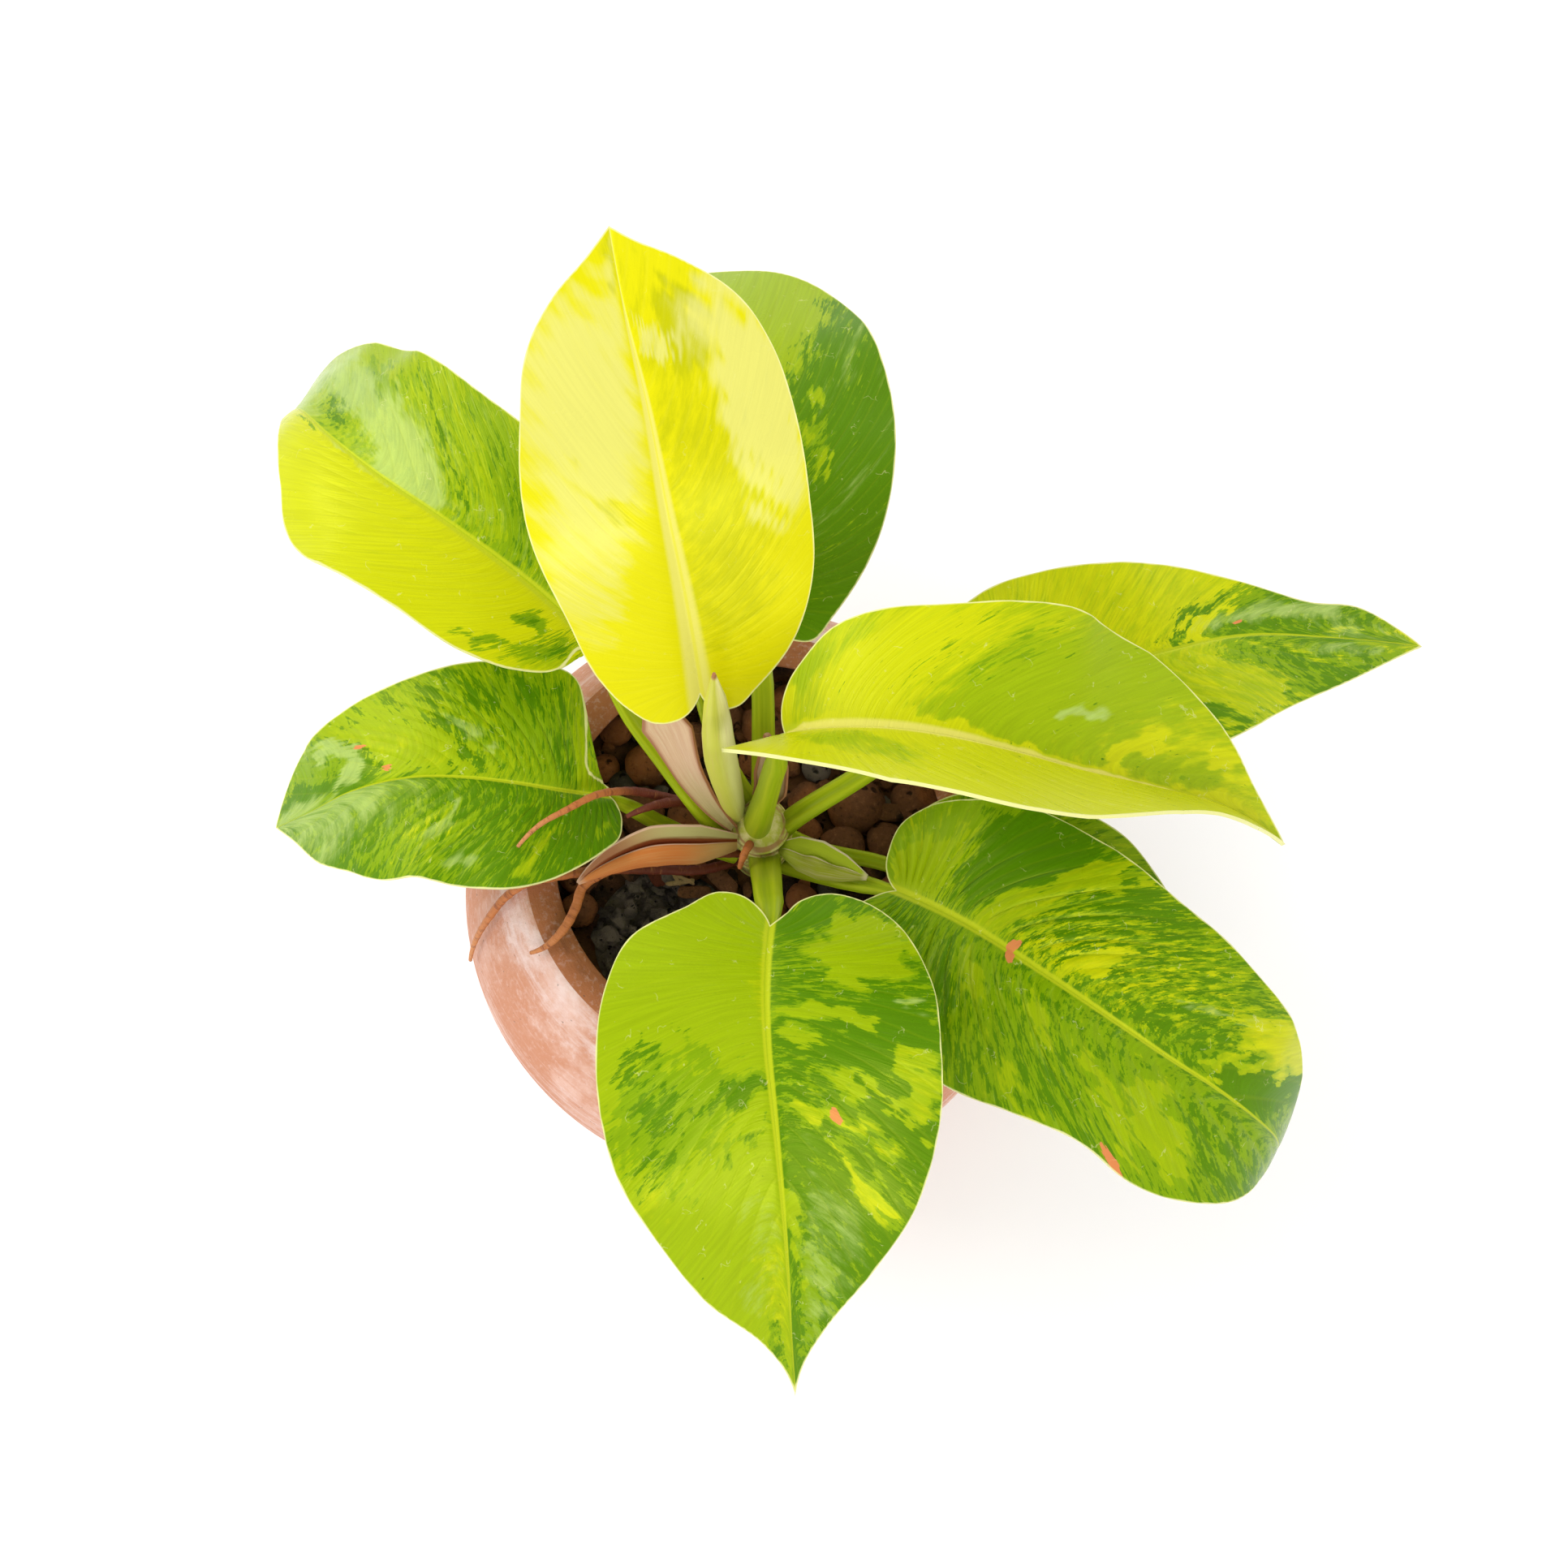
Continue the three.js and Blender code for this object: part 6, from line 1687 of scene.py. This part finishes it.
class PHILODENDRON_OT_roots(bpy.types.Operator):
    """Models the aerial roots"""

    bl_idname = "philodendron.roots"
    bl_label = "Aerial roots"

    def execute(self, context):
        skin = root_finish(context.scene.philodendron_stem)
        for root in ROOTS:
            tubes = [self.tube(root["line"], root["radius"], root["age"])]
            if "branch" in root:
                tubes.append(self.tube(root["branch"], ROOT_BRANCH_RADIUS, ROOT_BRANCH_AGE))
            piece = joined(tubes)
            name_piece(piece, "detailed_" + root["name"])
            dress(piece, skin)
            finish_piece(piece, [root["name"]])
        return {"FINISHED"}

    def tube(self, line, radii, age):
        path = SmoothPath(line)
        piece, share, angle = new_tube("root", sides=20, rings=max(20, round(path.length)))
        swell = ROOT_SWELL * np.sin(share * path.length * ROOT_SWELL_TURNS) * (share < ROOT_TIP_START)
        radius = blend(radii, share) * (1 + swell)
        shape_tube(piece, path, share, angle, radius, radius, age)
        return piece


class PHILODENDRON_OT_stage(bpy.types.Operator):
    """Adds the floor, the lights and the camera"""

    bl_idname = "philodendron.stage"
    bl_label = "Stage"

    def execute(self, context):
        settings = context.scene.philodendron_stage
        deselect_all()
        bpy.ops.mesh.primitive_plane_add(size=FLOOR_SIZE, location=(0, 0, 0))
        floor = context.active_object
        floor.name = "stage_floor"
        floor.data.materials.append(self.floor_finish(settings))
        context.scene.world = self.sky(settings)
        self.lamp("key_lamp", KEY_LAMP_PLACE, KEY_LAMP_SIZE, settings.key)
        self.lamp("front_lamp", FRONT_LAMP_PLACE, FRONT_LAMP_SIZE, settings.front)
        camera = bpy.data.cameras.new("camera")
        camera.lens = CAMERA_LENS
        camera.sensor_width = CAMERA_SENSOR
        holder = bpy.data.objects.new("camera", camera)
        holder.location = CAMERA_PLACE
        holder.rotation_euler = (math.radians(CAMERA_TILT), 0, 0)
        context.collection.objects.link(holder)
        context.scene.camera = holder
        context.scene.view_settings.view_transform = "Standard"
        return {"FINISHED"}

    def floor_finish(self, settings):
        darker = tuple(0.98 * part for part in settings.floor)
        finish = Finish("pale_floor", darker, roughness=0.9, specular=0.1)
        finish.cover(finish.noise(finish.place(), 30.0, 2.0), settings.floor)
        return finish.painted_material()

    def sky(self, settings):
        """Light all round, brighter towards the horizon."""
        world = bpy.data.worlds.new("studio")
        world.use_nodes = True
        tree = world.node_tree
        place = tree.nodes.new("ShaderNodeTexCoord")
        split = tree.nodes.new("ShaderNodeSeparateXYZ")
        ramp = tree.nodes.new("ShaderNodeMapRange")
        ramp.interpolation_type = "SMOOTHSTEP"
        ramp.inputs[3].default_value = settings.horizon
        ramp.inputs[4].default_value = settings.zenith
        tree.links.new(place.outputs["Generated"], split.inputs[0])
        tree.links.new(split.outputs[2], ramp.inputs[0])
        tree.links.new(ramp.outputs[0], tree.nodes["Background"].inputs["Strength"])
        tree.nodes["Background"].inputs["Color"].default_value = (1, 1, 1, 1)
        return world

    def lamp(self, name, location, size, power):
        light = bpy.data.lights.new(name, "AREA")
        light.energy = power
        light.shape = "RECTANGLE"
        light.size, light.size_y = size
        holder = bpy.data.objects.new(name, light)
        holder.location = location
        aim = Vector(LAMP_AIM) - Vector(location)
        holder.rotation_euler = aim.to_track_quat("-Z", "Y").to_euler()
        bpy.context.collection.objects.link(holder)


OPERATORS = (
    PHILODENDRON_OT_stage,
    PHILODENDRON_OT_pot,
    PHILODENDRON_OT_pebbles,
    PHILODENDRON_OT_grit,
    PHILODENDRON_OT_stem,
    PHILODENDRON_OT_leaves,
    PHILODENDRON_OT_spike,
    PHILODENDRON_OT_sheaths,
    PHILODENDRON_OT_roots,
)


class PHILODENDRON_PT_steps(bpy.types.Panel):
    """Lists the steps in the sidebar"""

    bl_idname = "PHILODENDRON_PT_steps"
    bl_label = "Philodendron"
    bl_space_type = "VIEW_3D"
    bl_region_type = "UI"
    bl_category = "Philodendron"

    def draw(self, context):
        for operator in OPERATORS:
            self.layout.operator(operator.bl_idname)


SETTINGS = {
    "philodendron_pot": PotSettings,
    "philodendron_blades": BladeSettings,
    "philodendron_media": MediaSettings,
    "philodendron_stem": StemSettings,
    "philodendron_stage": StageSettings,
}


def register():
    for group in SETTINGS.values():
        bpy.utils.register_class(group)
    for operator in OPERATORS:
        bpy.utils.register_class(operator)
    bpy.utils.register_class(PHILODENDRON_PT_steps)
    for name, group in SETTINGS.items():
        setattr(bpy.types.Scene, name, PointerProperty(type=group))


def unregister():
    for name in SETTINGS:
        delattr(bpy.types.Scene, name)
    bpy.utils.unregister_class(PHILODENDRON_PT_steps)
    for operator in reversed(OPERATORS):
        bpy.utils.unregister_class(operator)
    for group in SETTINGS.values():
        bpy.utils.unregister_class(group)


def main():
    register()
    for operator in OPERATORS:
        name = operator.bl_idname.split(".")[1]
        getattr(bpy.ops.philodendron, name)()


if __name__ == "__main__":
    main()
